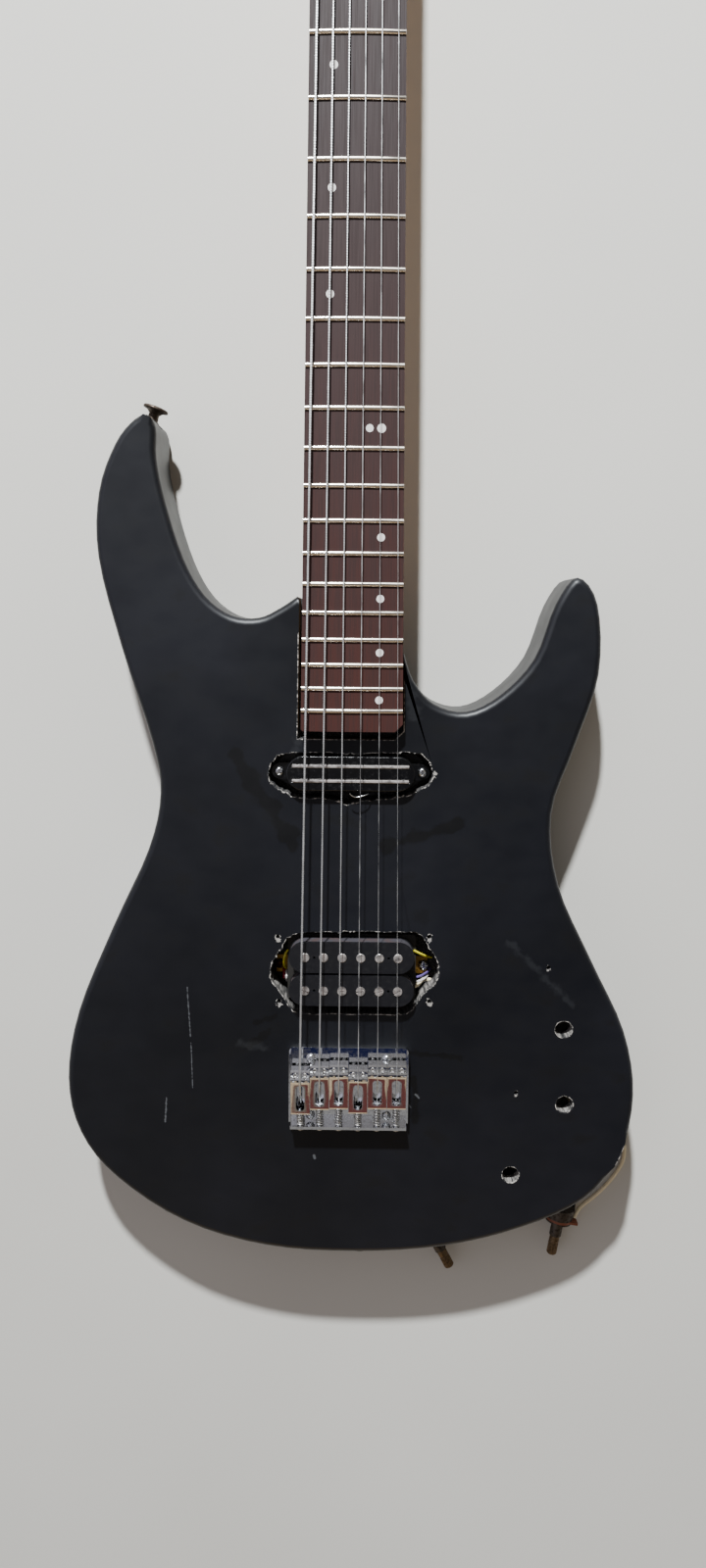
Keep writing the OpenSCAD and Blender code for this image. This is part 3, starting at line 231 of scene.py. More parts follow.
worn = add(tree, "Mix", {0: add(tree, "MapRange", {0: scraped, 1: 0, 2: 1, 3: 0, 4: 0.3}), 6: worn,
    7: linear("#7b7d80")}, data_type="RGBA")
flaked = several(tree, pale_chips)
fibres = pattern(tree, 0.8, detail=4, shift=2.0)
worn = add(tree, "Mix", {0: add(tree, "MapRange", {0: add(tree, "Math", {0: flaked, 1: fibres},
    operation="MULTIPLY").outputs[0], 1: 0.22, 2: 0.34, 3: 0, 4: 1}), 6: worn, 7: linear("#8f8a85")},
    data_type="RGBA")
chipped = several(tree, bare_chips)
wood = add(tree, "Mix", {0: pattern(tree, 1.5, stretch=(4, 1, 1)), 6: linear("#6e3a20"),
    7: linear("#b0683c")}, data_type="RGBA")
steer(tree, lacquer, "Base Color", add(tree, "Mix", {0: chipped, 6: worn, 7: wood}, data_type="RGBA"))
gloss = add(tree, "MapRange", {0: add(tree, "Math", {0: haze, 1: smears}, operation="ADD").outputs[0],
    1: 0.8, 2: 1.25, 3: 0.38, 4: 0.46})
steer(tree, lacquer, "Roughness", add(tree, "Math", {0: gloss, 1: add(tree, "MapRange", {0: add(tree,
    "Math", {0: chipped, 1: flaked}, operation="MAXIMUM"), 1: 0, 2: 1, 3: 0, 4: 0.8})},
    operation="MAXIMUM"))
relief = add(tree, "Math", {0: add(tree, "MapRange", {0: grain, 1: 0.3, 2: 0.7, 3: 0, 4: 0.12}),
    1: scraped}, operation="SUBTRACT").outputs[0]
steer(tree, lacquer, "Normal", add(tree, "Bump", {"Height": add(tree, "Math", {0: relief, 1: chipped},
    operation="SUBTRACT").outputs[0], "Distance": 0.08 * mm}))
print("lacquer with", len(tree.nodes), "nodes")

# %% Sealed wood inside the routes, and its torn rim
tree, sealed = start_finish("sealed_route_wood", "#3a3836", 0.8)
cut_lines = pattern(tree, 0.9, stretch=(1, 1, 12), detail=3)
painted_over = add(tree, "Mix", {0: add(tree, "MapRange", {0: cut_lines, 1: 0.35, 2: 0.68}),
    6: linear("#151517"), 7: linear("#4a4745")}, data_type="RGBA")
gouges = [((pickup_x / mm + x1, pickup_y / mm + y1, top - 5), (pickup_x / mm + x2, pickup_y / mm + y2,
    top - 5), 8, 5, 0.2) for x1, y1, x2, y2 in ((-45, -8, -37, -17), (47, 2, 38, -15))]
bores = [Vector(m["pos_m"]) / mm for m in frame["record"]["mounts"] if m["kind"] == "bore"]
control_holes = [((b.x, b.y, top - 9), (b.x, b.y, top), 7, 0) for b in bores]
bared = several(tree, gouges + control_holes)
fibre = add(tree, "Mix", {0: add(tree, "MapRange", {0: cut_lines, 1: 0.36, 2: 0.6}),
    6: linear("#1f1e1e"), 7: linear("#8d8883")}, data_type="RGBA")
steer(tree, sealed, "Base Color", add(tree, "Mix", {0: bared, 6: painted_over, 7: fibre},
    data_type="RGBA"))
steer(tree, sealed, "Normal", add(tree, "Bump", {"Height": cut_lines, "Distance": 0.3 * mm}))

tree, torn = start_finish("torn_wood_edge", "#8e8a85", 0.6)
splinters = pattern(tree, 1.6, detail=4, shift=5.0)
steer(tree, torn, "Base Color", add(tree, "Mix", {0: add(tree, "MapRange", {0: splinters, 1: 0.46,
    2: 0.62, 3: 0, 4: 1}), 6: linear("#19191b"), 7: linear("#aba59e")}, data_type="RGBA"))
steer(tree, torn, "Normal", add(tree, "Bump", {"Height": splinters, "Distance": 0.35 * mm}))

# %% [markdown]
# ## The body
# A router follows a template round the outline, and a round-over bit then takes off the
# corner. Blender's bevel does the same: the outline is one chain of edges round the top and
# the back. The routes for the pickups were widened by hand, so their top edge is nicked and
# shows pale fibres where the lacquer tore. They get extra corners, pushed about a little, and
# a narrow bevel with its own finish.

# %% Whole faces again, and a finished piece
SHARP = math.radians(38)


def copy_of(*nodes):
    """The shape of CAD nodes as a new mesh, with its double corners joined and flat faces whole."""
    shape = bmesh.new()
    for name in nodes:
        shape.from_mesh(frame["nodes"][name].data)
    bmesh.ops.remove_doubles(shape, verts=shape.verts, dist=0.005 * mm)
    bmesh.ops.dissolve_limit(shape, angle_limit=math.radians(0.8), verts=shape.verts,
        edges=shape.edges, delimit={"NORMAL"})
    shape.normal_update()
    return shape


def corner(edge):
    """The angle that an edge turns through, outward corners above zero."""
    return edge.calc_face_angle_signed(0) if len(edge.link_faces) == 2 else 0


def ease(shape, radius, steps=2, least=40, chosen=lambda edge: True):
    """Rounds the outward corners sharper than least degrees by radius millimetres."""
    edges = [e for e in shape.edges if corner(e) > math.radians(least) and chosen(e)]
    bmesh.ops.bevel(shape, geom=edges, offset=radius * mm, segments=steps, profile=0.5,
        affect="EDGES", clamp_overlap=True)
    return len(edges)


def finish_piece(name, shape, nodes, finish, rides="root"):
    """Turns a mesh into a piece that stands for CAD nodes, smooth except at sharp corners."""
    for face in shape.faces:
        face.smooth = True
    for edge in shape.edges:
        edge.smooth = abs(corner(edge)) < SHARP
    mesh = bpy.data.meshes.new(name)
    shape.to_mesh(mesh)
    shape.free()
    for one in ([finish] if isinstance(finish, str) else finish):
        mesh.materials.append(finishes[one])
    piece = bpy.data.objects.new(name, mesh)
    bpy.context.scene.collection.objects.link(piece)
    weighted = piece.modifiers.new("flat faces stay flat", "WEIGHTED_NORMAL")
    weighted.keep_sharp = True
    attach(piece, rides)
    if nodes:
        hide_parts(*nodes)
    print(name, len(mesh.polygons), "faces")
    return piece


# %% Body with its round-over and torn routes
body = copy_of("body")
body_low, body_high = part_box("body")
top_z, back_z = body_high.z, body_low.z
heel_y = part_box("fretboard")[0].y - 6 * mm


def full_height(face):
    heights = [v.co.z for v in face.verts]
    return min(heights) < back_z + 1 * mm and max(heights) > top_z - 1 * mm


def level(edge, height):
    return all(abs(v.co.z - height) < 0.05 * mm for v in edge.verts)


rim = [e for e in body.edges if (level(e, top_z) or level(e, back_z))
    and any(full_height(f) and abs(f.normal.z) < 0.1 for f in e.link_faces)]
outline = set(rim)
routed = [e for e in body.edges if level(e, top_z) and e not in outline
    and corner(e) > math.radians(60)]
for face in body.faces:
    inner = face.normal.z > 0.5 and face.calc_center_median().z < top_z - 1 * mm
    walls = abs(face.normal.z) < 0.5 and not full_height(face)
    face.material_index = 1 if inner or walls else 0
long_edges = [e for e in routed if e.calc_length() > 2.2 * mm]
bmesh.ops.subdivide_edges(body, edges=long_edges, cuts=3)
pushed = {v for v in body.verts if abs(v.co.z - top_z) < 0.05 * mm
    and any(f.material_index == 1 for f in v.link_faces)}
for v in pushed:
    if v.co.y < heel_y:
        v.co.xy += 0.32 * mm * noise.noise_vector(v.co * 900).xy
body.edges.ensure_lookup_table()
routed = [e for e in body.edges if level(e, top_z) and len(e.link_faces) == 2
    and any(f.material_index == 1 for f in e.link_faces)
    and any(f.material_index == 0 for f in e.link_faces)
    and min((e.verts[0].co.xy - Vector(p[:2]) * mm).length for p in ring + stray) > 3 * mm]
bmesh.ops.bevel(body, geom=rim, offset=3.6 * mm, segments=5, profile=0.5, affect="EDGES",
    clamp_overlap=False, material=0)
routed = [e for e in routed if e.is_valid]
bmesh.ops.bevel(body, geom=routed, offset=0.5 * mm, segments=2, profile=0.6, affect="EDGES",
    clamp_overlap=False, material=2)
body_piece = finish_piece("lacquered_body", body, ["body"],
    ["satin_black_polyurethane", "sealed_route_wood", "torn_wood_edge"])
print(len(rim), "rim edges,", len(routed), "route edges")

# %% [markdown]
# ## Floor and light
# A plain pale floor. The main light is a large lamp beyond the head and a little to the bass
# side, which throws the shadow to the tail. Pale walls fill the shadows, and whoever leans
# over the tail end is a dark patch in the room: polished metal and lacquer need one to mirror.

# %% Floor
tree, painted = start_finish("pale_painted_floor", "#c5c2bb", 0.9)
steer(tree, painted, "Base Color", add(tree, "Mix", {0: add(tree, "MapRange", {0: pattern(tree, 300),
    1: 0.3, 2: 0.7, 3: 0, 4: 1}), 6: linear("#c1beb7"), 7: linear("#c8c5be")}, data_type="RGBA"))
floor_shape = bmesh.new()
bmesh.ops.create_grid(floor_shape, x_segments=8, y_segments=8, size=4)
floor_mesh = bpy.data.meshes.new("floor")
floor_shape.to_mesh(floor_mesh)
floor_shape.free()
floor_mesh.materials.append(finishes["pale_painted_floor"])
floor = bpy.data.objects.new("floor", floor_mesh)
floor.location = (0, 0, cad_low.z - 0.3 * mm)
bpy.context.scene.collection.objects.link(floor)

# %% Main light
lamp = bpy.data.objects.new("lamp", bpy.data.lights.new("lamp", "AREA"))
lamp.data.shape = "DISK"
lamp.data.size = 0.13
lamp.data.energy = 102
lamp.data.spread = math.radians(115)
lamp.data.color = (0.93, 0.975, 1.0)
lamp.location = (-0.33, 2.45, 1.55)
aim = Vector((0, 0.80, 0)) - lamp.location
lamp.rotation_euler = aim.to_track_quat("-Z", "Y").to_euler()
bpy.context.scene.collection.objects.link(lamp)

# %% Room
room = bpy.data.worlds.new("room")
room.use_nodes = True
bpy.context.scene.world = room
tree = room.node_tree
tree.nodes.clear()
way = add(tree, "TexCoord").outputs["Generated"]


def patch(tree, under, colour, x, y, z, edge, centre):
    """A patch of the room in one direction, fading out at its edge; both are cosines."""
    aim_at = tuple(Vector((x, y, z)).normalized())
    facing = add(tree, "VectorMath", {0: way, 1: aim_at}, operation="DOT_PRODUCT")
    share = add(tree, "MapRange", {0: facing, 1: edge, 2: centre}, interpolation_type="SMOOTHSTEP")
    return add(tree, "Mix", {0: share, 6: under, 7: linear(colour)}, data_type="RGBA")


walls = linear("#928e87")
walls = patch(tree, walls, "#f8dcb2", 0, -0.97, 0.22, 0.72, 0.95)
walls = patch(tree, walls, "#f2f0ff", -0.66, 0.30, 0.62, 0.62, 0.97)
walls = patch(tree, walls, "#2c2c31", 0.24, -0.42, 0.88, 0.86, 0.985)
walls = patch(tree, walls, "#a3a19f", 0, -0.515, 0.857, 0.9890, 0.9898)
walls = patch(tree, walls, "#784844", 0.01, -0.687, 0.727, 0.99725, 0.9975)
walls = patch(tree, walls, "#20264a", 0, -0.30, 1.0, 0.9925, 0.9934)
light = add(tree, "Background", {"Color": walls, "Strength": 0.85})
add(tree, "OutputWorld", {"Surface": light.outputs[0]})
print("lamp", lamp.data.energy, "W")

# %% [markdown]
# ## Wood, metal and plastic
# The fingerboard is open-pored rosewood, browner and redder towards the body where hands reach
# less often. Frets are nickel silver, drawn as wire and polished by the strings. The bridge is
# chrome over zinc, pitted and dusty. The pickup's cover is moulded ABS with a high gloss, and
# its bobbins are duller. Each is its own finish, with a pattern sized from the real thing.

# %% Rosewood, open-pored and oiled
board_low, board_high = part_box("fretboard")
tree, rosewood = start_finish("open_pored_rosewood", "#4a3632", 0.5)
pores = pattern(tree, 0.7, stretch=(1, 34, 1), detail=3)
figure = pattern(tree, 5, stretch=(1, 16, 1), detail=2, shift=2.0)
along = add(tree, "SeparateXYZ", {0: add(tree, "TexCoord").outputs["Object"]}).outputs["Y"]
to_head = add(tree, "MapRange", {0: along, 1: board_low.y, 2: board_low.y + 0.30, 3: 0, 4: 1})
base = add(tree, "Mix", {0: to_head, 6: linear("#3a1e1a"), 7: linear("#2c2323")}, data_type="RGBA")
dark = add(tree, "Mix", {0: add(tree, "MapRange", {0: pores, 1: 0.42, 2: 0.62, 3: 0, 4: 0.45}), 6: base,
    7: linear("#211615")}, data_type="RGBA")
steer(tree, rosewood, "Base Color", add(tree, "Mix", {0: add(tree, "MapRange", {0: figure, 1: 0.4,
    2: 0.7, 3: 0, 4: 0.35}), 6: dark, 7: linear("#2e2020")}, data_type="RGBA"))
steer(tree, rosewood, "Roughness", add(tree, "MapRange", {0: pores, 1: 0.3, 2: 0.7, 3: 0.5, 4: 0.68}))
rosewood.inputs["Specular IOR Level"].default_value = 0.22
steer(tree, rosewood, "Normal", add(tree, "Bump", {"Height": pores, "Distance": 0.08 * mm}))

# %% Hard maple, lacquered
tree, maple = start_finish("lacquered_hard_maple", "#b98c5c", 0.38, ior=1.5)
rings = pattern(tree, 6, stretch=(1, 25, 1), detail=4)
flecks = pattern(tree, 0.8, stretch=(1, 9, 1), detail=2, shift=4.0)
base = add(tree, "Mix", {0: add(tree, "MapRange", {0: rings, 1: 0.35, 2: 0.65, 3: 0, 4: 1}),
    6: linear("#a97c4c"), 7: linear("#c79a66")}, data_type="RGBA")
steer(tree, maple, "Base Color", add(tree, "Mix", {0: add(tree, "MapRange", {0: flecks, 1: 0.55,
    2: 0.75, 3: 0, 4: 0.4}), 6: base, 7: linear("#8d6338")}, data_type="RGBA"))
steer(tree, maple, "Normal", add(tree, "Bump", {"Height": rings, "Distance": 0.03 * mm}))


# %% Metals, with handling marks
def metal(name, colour, roughness, dirt="#3a342c", dirt_share=0.25, size=4.0, brushed=(1, 1, 1),
        rise=0.01):
    """A metal surface with dull dirty patches about size millimetres wide."""
    tree, shader = start_finish(name, colour, roughness, metallic=1.0)
    patches = pattern(tree, size, stretch=brushed, detail=5)
    steer(tree, shader, "Base Color", add(tree, "Mix", {0: add(tree, "MapRange", {0: patches, 1: 0.5,
        2: 0.7, 3: 0, 4: dirt_share}), 6: linear(colour), 7: linear(dirt)}, data_type="RGBA"))
    steer(tree, shader, "Roughness", add(tree, "MapRange", {0: patches, 1: 0.35, 2: 0.7,
        3: roughness * 0.75, 4: min(roughness * 1.6 + 0.06, 1)}))
    fine = pattern(tree, 0.25, stretch=brushed, detail=2, shift=1.0)
    steer(tree, shader, "Normal", add(tree, "Bump", {"Height": fine, "Distance": rise * mm}))
    return tree, shader


metal("polished_nickel_silver", "#d8d0c6", 0.22, dirt="#6b5a48", brushed=(6, 1, 1))
metal("pitted_chrome_on_zinc", "#dcdde0", 0.035, dirt="#77706a", dirt_share=0.3, size=1.6, rise=0.001)
metal("chromed_steel_screw", "#d2d3d6", 0.16, dirt="#5c5044", dirt_share=0.35, size=1.2)
metal("plain_mild_steel", "#b9b6b2", 0.3, dirt="#6a4f3c", dirt_share=0.35, size=1.5)
metal("ground_steel_slug", "#c4bebb", 0.42, dirt="#7a6a62", dirt_share=0.3, size=3)
metal("rusted_mild_steel", "#7d5137", 0.7, dirt="#3b2015", dirt_share=0.8, size=0.9)
metal("cold_drawn_string_steel", "#e2e2e2", 0.34, dirt="#8d8780", dirt_share=0.2, size=12)
metal("tarnished_brass", "#75624c", 0.42, dirt="#33291e", dirt_share=0.7, size=1.5)
metal("aged_nickel_plate", "#4b423b", 0.5, dirt="#2a211b", dirt_share=0.5, size=1.8)
metal("oxidised_pot_steel", "#57504a", 0.5, dirt="#2b231d", dirt_share=0.6, size=2)
metal("black_chrome_plate", "#26272a", 0.2, dirt="#0d0d0e", dirt_share=0.4, size=5)
metal("cast_magnet_alloy", "#5f6064", 0.6, dirt="#37373a", dirt_share=0.5, size=2)

# %% Stamped brass, with shade painted dark above its feet
tree, stamped = start_finish("wax_dipped_brass", "#b08d4c", 0.35, metallic=1.0)
height = add(tree, "SeparateXYZ", {0: add(tree, "TexCoord").outputs["Object"]}).outputs["Z"]
feet_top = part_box("humbucker_baseplate")[0].z + 4 * mm
# Painted shade: above its feet the plate is coloured near black, dull and not metallic, like the shade round the
# bobbins.
painted_shade_above_feet = add(tree, "MapRange", {0: height, 1: feet_top, 2: feet_top + 3 * mm, 3: 0, 4: 1})
steer(tree, stamped, "Base Color", add(tree, "Mix", {0: painted_shade_above_feet, 6: add(tree, "Mix", {0: pattern(tree,
    2.5, detail=4), 6: linear("#c39a4a"), 7: linear("#8a6a34")}, data_type="RGBA"),
    7: linear("#1b1815")}, data_type="RGBA"))
steer(tree, stamped, "Metallic", add(tree, "MapRange", {0: painted_shade_above_feet, 1: 0, 2: 1, 3: 1, 4: 0}))
steer(tree, stamped, "Roughness", add(tree, "MapRange", {0: painted_shade_above_feet, 1: 0, 2: 1, 3: 0.32, 4: 0.6}))
print(len(finishes), "finishes so far")

# %% Wound nickel string: a fine helical ridge
tree, winding = start_finish("nickel_wound_wire", "#e4e4e5", 0.46, metallic=1.0)
turns = add(tree, "TexWave", {"Vector": add(tree, "TexCoord").outputs["Object"], "Scale": 260.0,
    "Distortion": 0.0}, wave_type="BANDS", bands_direction="Y").outputs[1]
grime = pattern(tree, 9, detail=4)
steer(tree, winding, "Base Color", add(tree, "Mix", {0: add(tree, "MapRange", {0: grime, 1: 0.4, 2: 0.7,
    3: 0, 4: 0.6}), 6: linear("#e4e4e5"), 7: linear("#b0aeaa")}, data_type="RGBA"))
steer(tree, winding, "Normal", add(tree, "Bump", {"Height": turns, "Distance": 0.04 * mm}))


# %% Plastics, tape and insulation
def moulded(name, colour, roughness, grain_mm=0.5, depth=0.01, dust="#8a857c", dust_share=0.12, ior=1.53,
        spread_of_gloss=0.3):
    """A moulded plastic with a fine skin and a little dust lying on it."""
    tree, shader = start_finish(name, colour, roughness, ior=ior)
    lying = pattern(tree, 2.2, detail=6, shift=6.0)
    steer(tree, shader, "Base Color", add(tree, "Mix", {0: add(tree, "MapRange", {0: lying, 1: 0.55,
        2: 0.8, 3: 0, 4: dust_share}), 6: linear(colour), 7: linear(dust)}, data_type="RGBA"))
    steer(tree, shader, "Roughness", add(tree, "MapRange", {0: lying, 1: 0.4, 2: 0.75, 3: roughness,
        4: min(roughness + spread_of_gloss, 1)}))
    steer(tree, shader, "Normal", add(tree, "Bump", {"Height": pattern(tree, grain_mm, detail=2),
        "Distance": depth * mm}))
    return tree, shader


moulded("gloss_moulded_abs", "#08080a", 0.08, dust_share=0.015)
moulded("satin_moulded_abs", "#0d0d11", 0.36, dust_share=0.02, spread_of_gloss=0.06)
moulded("moulded_pearl_acetate", "#d8d3cf", 0.25, dust_share=0.05)
moulded("polished_bone", "#d9d2bf", 0.35, dust="#a08c68", dust_share=0.4)
moulded("cream_pvc_insulation", "#ecdcb8", 0.42, dust="#a8926a", dust_share=0.35)
moulded("black_pvc_insulation", "#1a1a1b", 0.4)
moulded("yellow_pvc_insulation", "#c9bd22", 0.4, dust="#6d6420", dust_share=0.4)
moulded("white_pvc_insulation", "#d6cfcb", 0.4, dust="#a98f8a", dust_share=0.6)
moulded("red_pvc_insulation", "#a3203a", 0.4, dust="#4f1420", dust_share=0.4)
moulded("purple_pvc_insulation", "#5b4a86", 0.4, dust="#2c2444", dust_share=0.4)

tree, paper = start_finish("pressed_phenolic_paper", "#7d3c25", 0.6, ior=1.6)
fibres = pattern(tree, 0.5, stretch=(5, 1, 1), detail=4)
steer(tree, paper, "Base Color", add(tree, "Mix", {0: fibres, 6: linear("#5e2a1b"),
    7: linear("#96502f")}, data_type="RGBA"))
steer(tree, paper, "Normal", add(tree, "Bump", {"Height": fibres, "Distance": 0.05 * mm}))

tree, tape = start_finish("woven_coil_tape", "#2e2b31", 0.85)
weave = pattern(tree, 0.35, stretch=(1, 1, 3), detail=1)
aged = pattern(tree, 7, detail=3, shift=1.3)
steer(tree, tape, "Base Color", add(tree, "Mix", {0: add(tree, "MapRange", {0: aged, 1: 0.45, 2: 0.65,
    3: 0, 4: 0.7}), 6: linear("#2e2b31"), 7: linear("#3b2722")}, data_type="RGBA"))
steer(tree, tape, "Normal", add(tree, "Bump", {"Height": weave, "Distance": 0.06 * mm}))

# %% Each frame part gets its finish
finish_of = {
    "neck": "lacquered_hard_maple", "fretboard": "open_pored_rosewood",
    "frets": "polished_nickel_silver", "inlay_dots": "moulded_pearl_acetate", "nut": "polished_bone",
    "truss_rod": "plain_mild_steel", "neck_ferrules": "black_chrome_plate",
    "neck_screws": "black_chrome_plate", "neck_pickup_base": "satin_moulded_abs",
    "neck_pickup_cover": "gloss_moulded_abs", "neck_pickup_blades": "ground_steel_slug",
    "neck_pickup_screws": "chromed_steel_screw", "humbucker_baseplate": "wax_dipped_brass",
    "humbucker_bobbins": "satin_moulded_abs", "pickup_coils": "woven_coil_tape",
    "pickup_magnets": "cast_magnet_alloy", "pole_keeper": "plain_mild_steel",
    "pole_slugs": "ground_steel_slug", "pole_screws": "ground_steel_slug",
    "humbucker_screw_bass": "rusted_mild_steel", "humbucker_screw_treble": "chromed_steel_screw",
    "bridge_plate": "pitted_chrome_on_zinc", "bridge_screws": "chromed_steel_screw",
    "saddles": "pitted_chrome_on_zinc", "saddle_height_screws": "plain_mild_steel",
    "intonation_screws": "chromed_steel_screw", "intonation_springs": "plain_mild_steel",
    "wound_strings": "nickel_wound_wire", "plain_strings": "cold_drawn_string_steel",
    "string_ferrules": "chromed_steel_screw", "strap_button_horn": "aged_nickel_plate",
    "strap_button_tail": "aged_nickel_plate", "strap_screws": "rusted_mild_steel",
    "tuner_housings": "black_chrome_plate", "tuner_bushings": "black_chrome_plate",
    "tuner_screws": "black_chrome_plate", "pot_housings": "oxidised_pot_steel",
    "pot_wafers": "pressed_phenolic_paper", "pot_shaft_1": "tarnished_brass",
    "pot_shaft_2": "tarnished_brass", "wiring_inner": "cream_pvc_insulation",
    "lead_cream": "cream_pvc_insulation", "lead_black": "black_pvc_insulation",
    "lead_yellow": "yellow_pvc_insulation", "lead_white": "white_pvc_insulation",
    "lead_red": "red_pvc_insulation", "lead_purple": "purple_pvc_insulation"}
for number in range(1, 7):
    finish_of[f"tuner_post_{number}"] = "plain_mild_steel"
    finish_of[f"tuner_button_{number}"] = "black_chrome_plate"
for name, finish in finish_of.items():
    node = frame["nodes"][name]
    node.data.materials.clear()
    node.data.materials.append(finishes[finish])
print(len(finish_of), "parts finished")

# %% [markdown]
# ## Eased corners
# No real edge is perfectly sharp: stamped plate, moulded plastic and turned screws all have a
# small radius, and it is the bright line along it that shows where a part ends. Each piece
# below is a frame part with its corners eased by its own real radius, except the strings and
# springs, which are only shaded smooth.


# %% Ease the parts that show
def eased(name, nodes, radius, steps=2, least=40, rides="root", chosen=lambda edge: True):
    shape = copy_of(*nodes)
    count = ease(shape, radius, steps, least, chosen)
    piece = finish_piece(name, shape, nodes, finish_of[nodes[0]], rides)
    print("  eased", count, "edges by", radius, "mm")
    return piece


def upper(height):
    return lambda edge: min(v.co.z for v in edge.verts) > height


eased("rounded_pickup_cover", ["neck_pickup_cover"], 1.3, 3,
    chosen=upper(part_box("neck_pickup_cover")[1].z - 0.2 * mm))
eased("rolled_blades", ["neck_pickup_blades"], 0.3, 2)
eased("soft_bobbins", ["humbucker_bobbins"], 0.35, 2)
eased("pressed_baseplate", ["humbucker_baseplate"], 0.2, 1)
eased("cast_bridge_plate", ["bridge_plate"], 0.35, 2)
eased("cast_saddles", ["saddles"], 0.25, 2)
eased("bridge_screw_heads", ["bridge_screws"], 0.15, 1)
eased("pickup_screw_heads", ["neck_pickup_screws"], 0.15, 1)
eased("treble_ear_screw", ["humbucker_screw_treble"], 0.15, 1)
eased("bass_ear_screw", ["humbucker_screw_bass"], 0.15, 1)
eased("domed_pole_screws", ["pole_screws"], 0.5, 2)
eased("pole_slug_tops", ["pole_slugs"], 0.25, 1)
eased("grub_screws", ["saddle_height_screws"], 0.1, 1)
eased("intonation_heads", ["intonation_screws"], 0.2, 1)
eased("edged_fingerboard", ["fretboard"], 0.5, 2, chosen=lambda e: abs(
    (e.verts[0].co - e.verts[1].co).normalized().y) > 0.9)
eased("crowned_frets", ["frets"], 0.1, 1, least=60)
eased("round_wound_strings", ["wound_strings"], 0.01, 1, least=179)
eased("round_plain_strings", ["plain_strings"], 0.01, 1, least=179)
eased("coiled_springs", ["intonation_springs"], 0.01, 1, least=179)
eased("turned_horn_button", ["strap_button_horn"], 0.3, 2)
eased("turned_tail_button", ["strap_button_tail"], 0.3, 2)
eased("strap_screw_heads", ["strap_screws"], 0.2, 1)
eased("pressed_pot_cans", ["pot_housings"], 0.4, 2)
eased("maple_neck", ["neck"], 1.2, 2, least=50)
eased("bone_nut", ["nut"], 0.4, 2)
eased("cast_tuner_housings", ["tuner_housings"], 0.8, 3)
eased("turned_tuner_bushings", ["tuner_bushings"], 0.4, 2)
for number in range(1, 7):
    eased(f"slotted_post_{number}", [f"tuner_post_{number}"], 0.3, 2, rides=f"tuner_post_{number}")
    eased(f"cast_button_{number}", [f"tuner_button_{number}"], 1.0, 3, rides=f"tuner_button_{number}")

# %% [markdown]
# ## Leads and loose wires
# The leads are stranded copper in PVC, limp enough to lie where they fall. A curve with a
# round section is the plain way to make one: its line is the lead's own centre line, so its
# length can be measured. The cream one leaves the empty jack hole, drops to the floor, runs
# round the rim and ends on the nearer pot; the black one goes on from there to the other pot.

# %% Smooth routes
joints = {joint["name"]: joint for joint in frame["joints"]}


def smooth(points, steps=4):
    """A smooth line through the points, which are in millimetres, as points in metres."""
    p = [Vector(q) * mm for q in points]
    line = []
    for i in range(len(p) - 1):
        a, b, c, d = p[max(i - 1, 0)], p[i], p[i + 1], p[min(i + 2, len(p) - 1)]
        for k in range(steps):
            t = k / steps
            line.append(0.5 * (2 * b + (c - a) * t + (2 * a - 5 * b + 4 * c - d) * t * t
                + (3 * b - a - 3 * c + d) * t ** 3))
    return line + [p[-1]]


def length_of(line):
    return sum((b - a).length for a, b in zip(line, line[1:]))


def wire(name, line, diameter, finish):
    """A round wire along a line, as a curve of one open spline that rides on the root body."""
    curve = bpy.data.curves.new(name, "CURVE")
    curve.dimensions = "3D"
    curve.bevel_depth = diameter * mm / 2
    curve.bevel_resolution = 4
    curve.use_fill_caps = True
    spline = curve.splines.new("POLY")
    spline.points.add(len(line) - 1)
    for point, place in zip(spline.points, line):
        point.co = (*place, 1)
    spline.use_smooth = True
    curve.materials.append(finishes[finish])
    piece = bpy.data.objects.new(name, curve)
    bpy.context.scene.collection.objects.link(piece)
    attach(piece, "root")
    return piece


# %% The two free leads
lead_d, thin_d = 2.2, 1.8
body_t = (top_z - back_z) / mm
jack_hole_d = 22
jack = Vector((153.3, -52.6, body_t / 2 - jack_hole_d / 2 + lead_d / 2 + 0.1))
jack_way = Vector((math.cos(math.radians(-21)), math.sin(math.radians(-21)), 0))


def solder_place(number, up):
    """Where a lead meets the lug of a pot's wafer, in millimetres."""
    turn = joints[f"pot_shaft_turn_{number}"]
    front, out = Vector(turn["pos_m"]) / mm, Vector(turn["axis"])
    wafer_back, lug = 2.8, 9.3
    side = Vector((-out.y, out.x, 0))
    return front - wafer_back * out + lug * side + Vector((0, 0, up))


cream_route = [jack - 4 * jack_way, jack + jack_way, (158, -56, 10), (161, -61, 5), (164, -68, 1.6),
    (165, -74, 1.2), (164, -81, 1.2), (161, -87, 1.2), (157, -93, 1.2), (152, -99, 1.2),
    (147, -104, 1.2), (142, -108, 1.6), (138.5, -110, 4), (136, -112, 7), solder_place(2, 0)]
black_route = [solder_place(2, -3.4), (135.5, -110, 4), (136, -105, 1.6), (133, -101, 1), (127, -99, 1),
    (120, -100, 1), (112, -103, 1), (104, -106, 1), (96, -109, 1), (88, -112, 1), (80, -115, 1),
    (72, -116, 1), (64, -115, 1), (58, -114, 2.5), (56.5, -116, 6), solder_place(1, 0)]
for colour, route, width in (("cream", cream_route, lead_d), ("black", black_route, thin_d)):
    line = smooth(route)
    lead = wire(f"{colour}_lead", line, width, f"{colour}_pvc_insulation")
    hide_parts(f"lead_{colour}")
    print(lead.name, round(length_of(line) / mm), "mm long")

# %% [markdown]
# ## Small things in the routes
# The hook-up wires of the coils are thinner than the leads and a little kinked. A bent scrap of
# bare wire stands in the gap below the neck pickup.

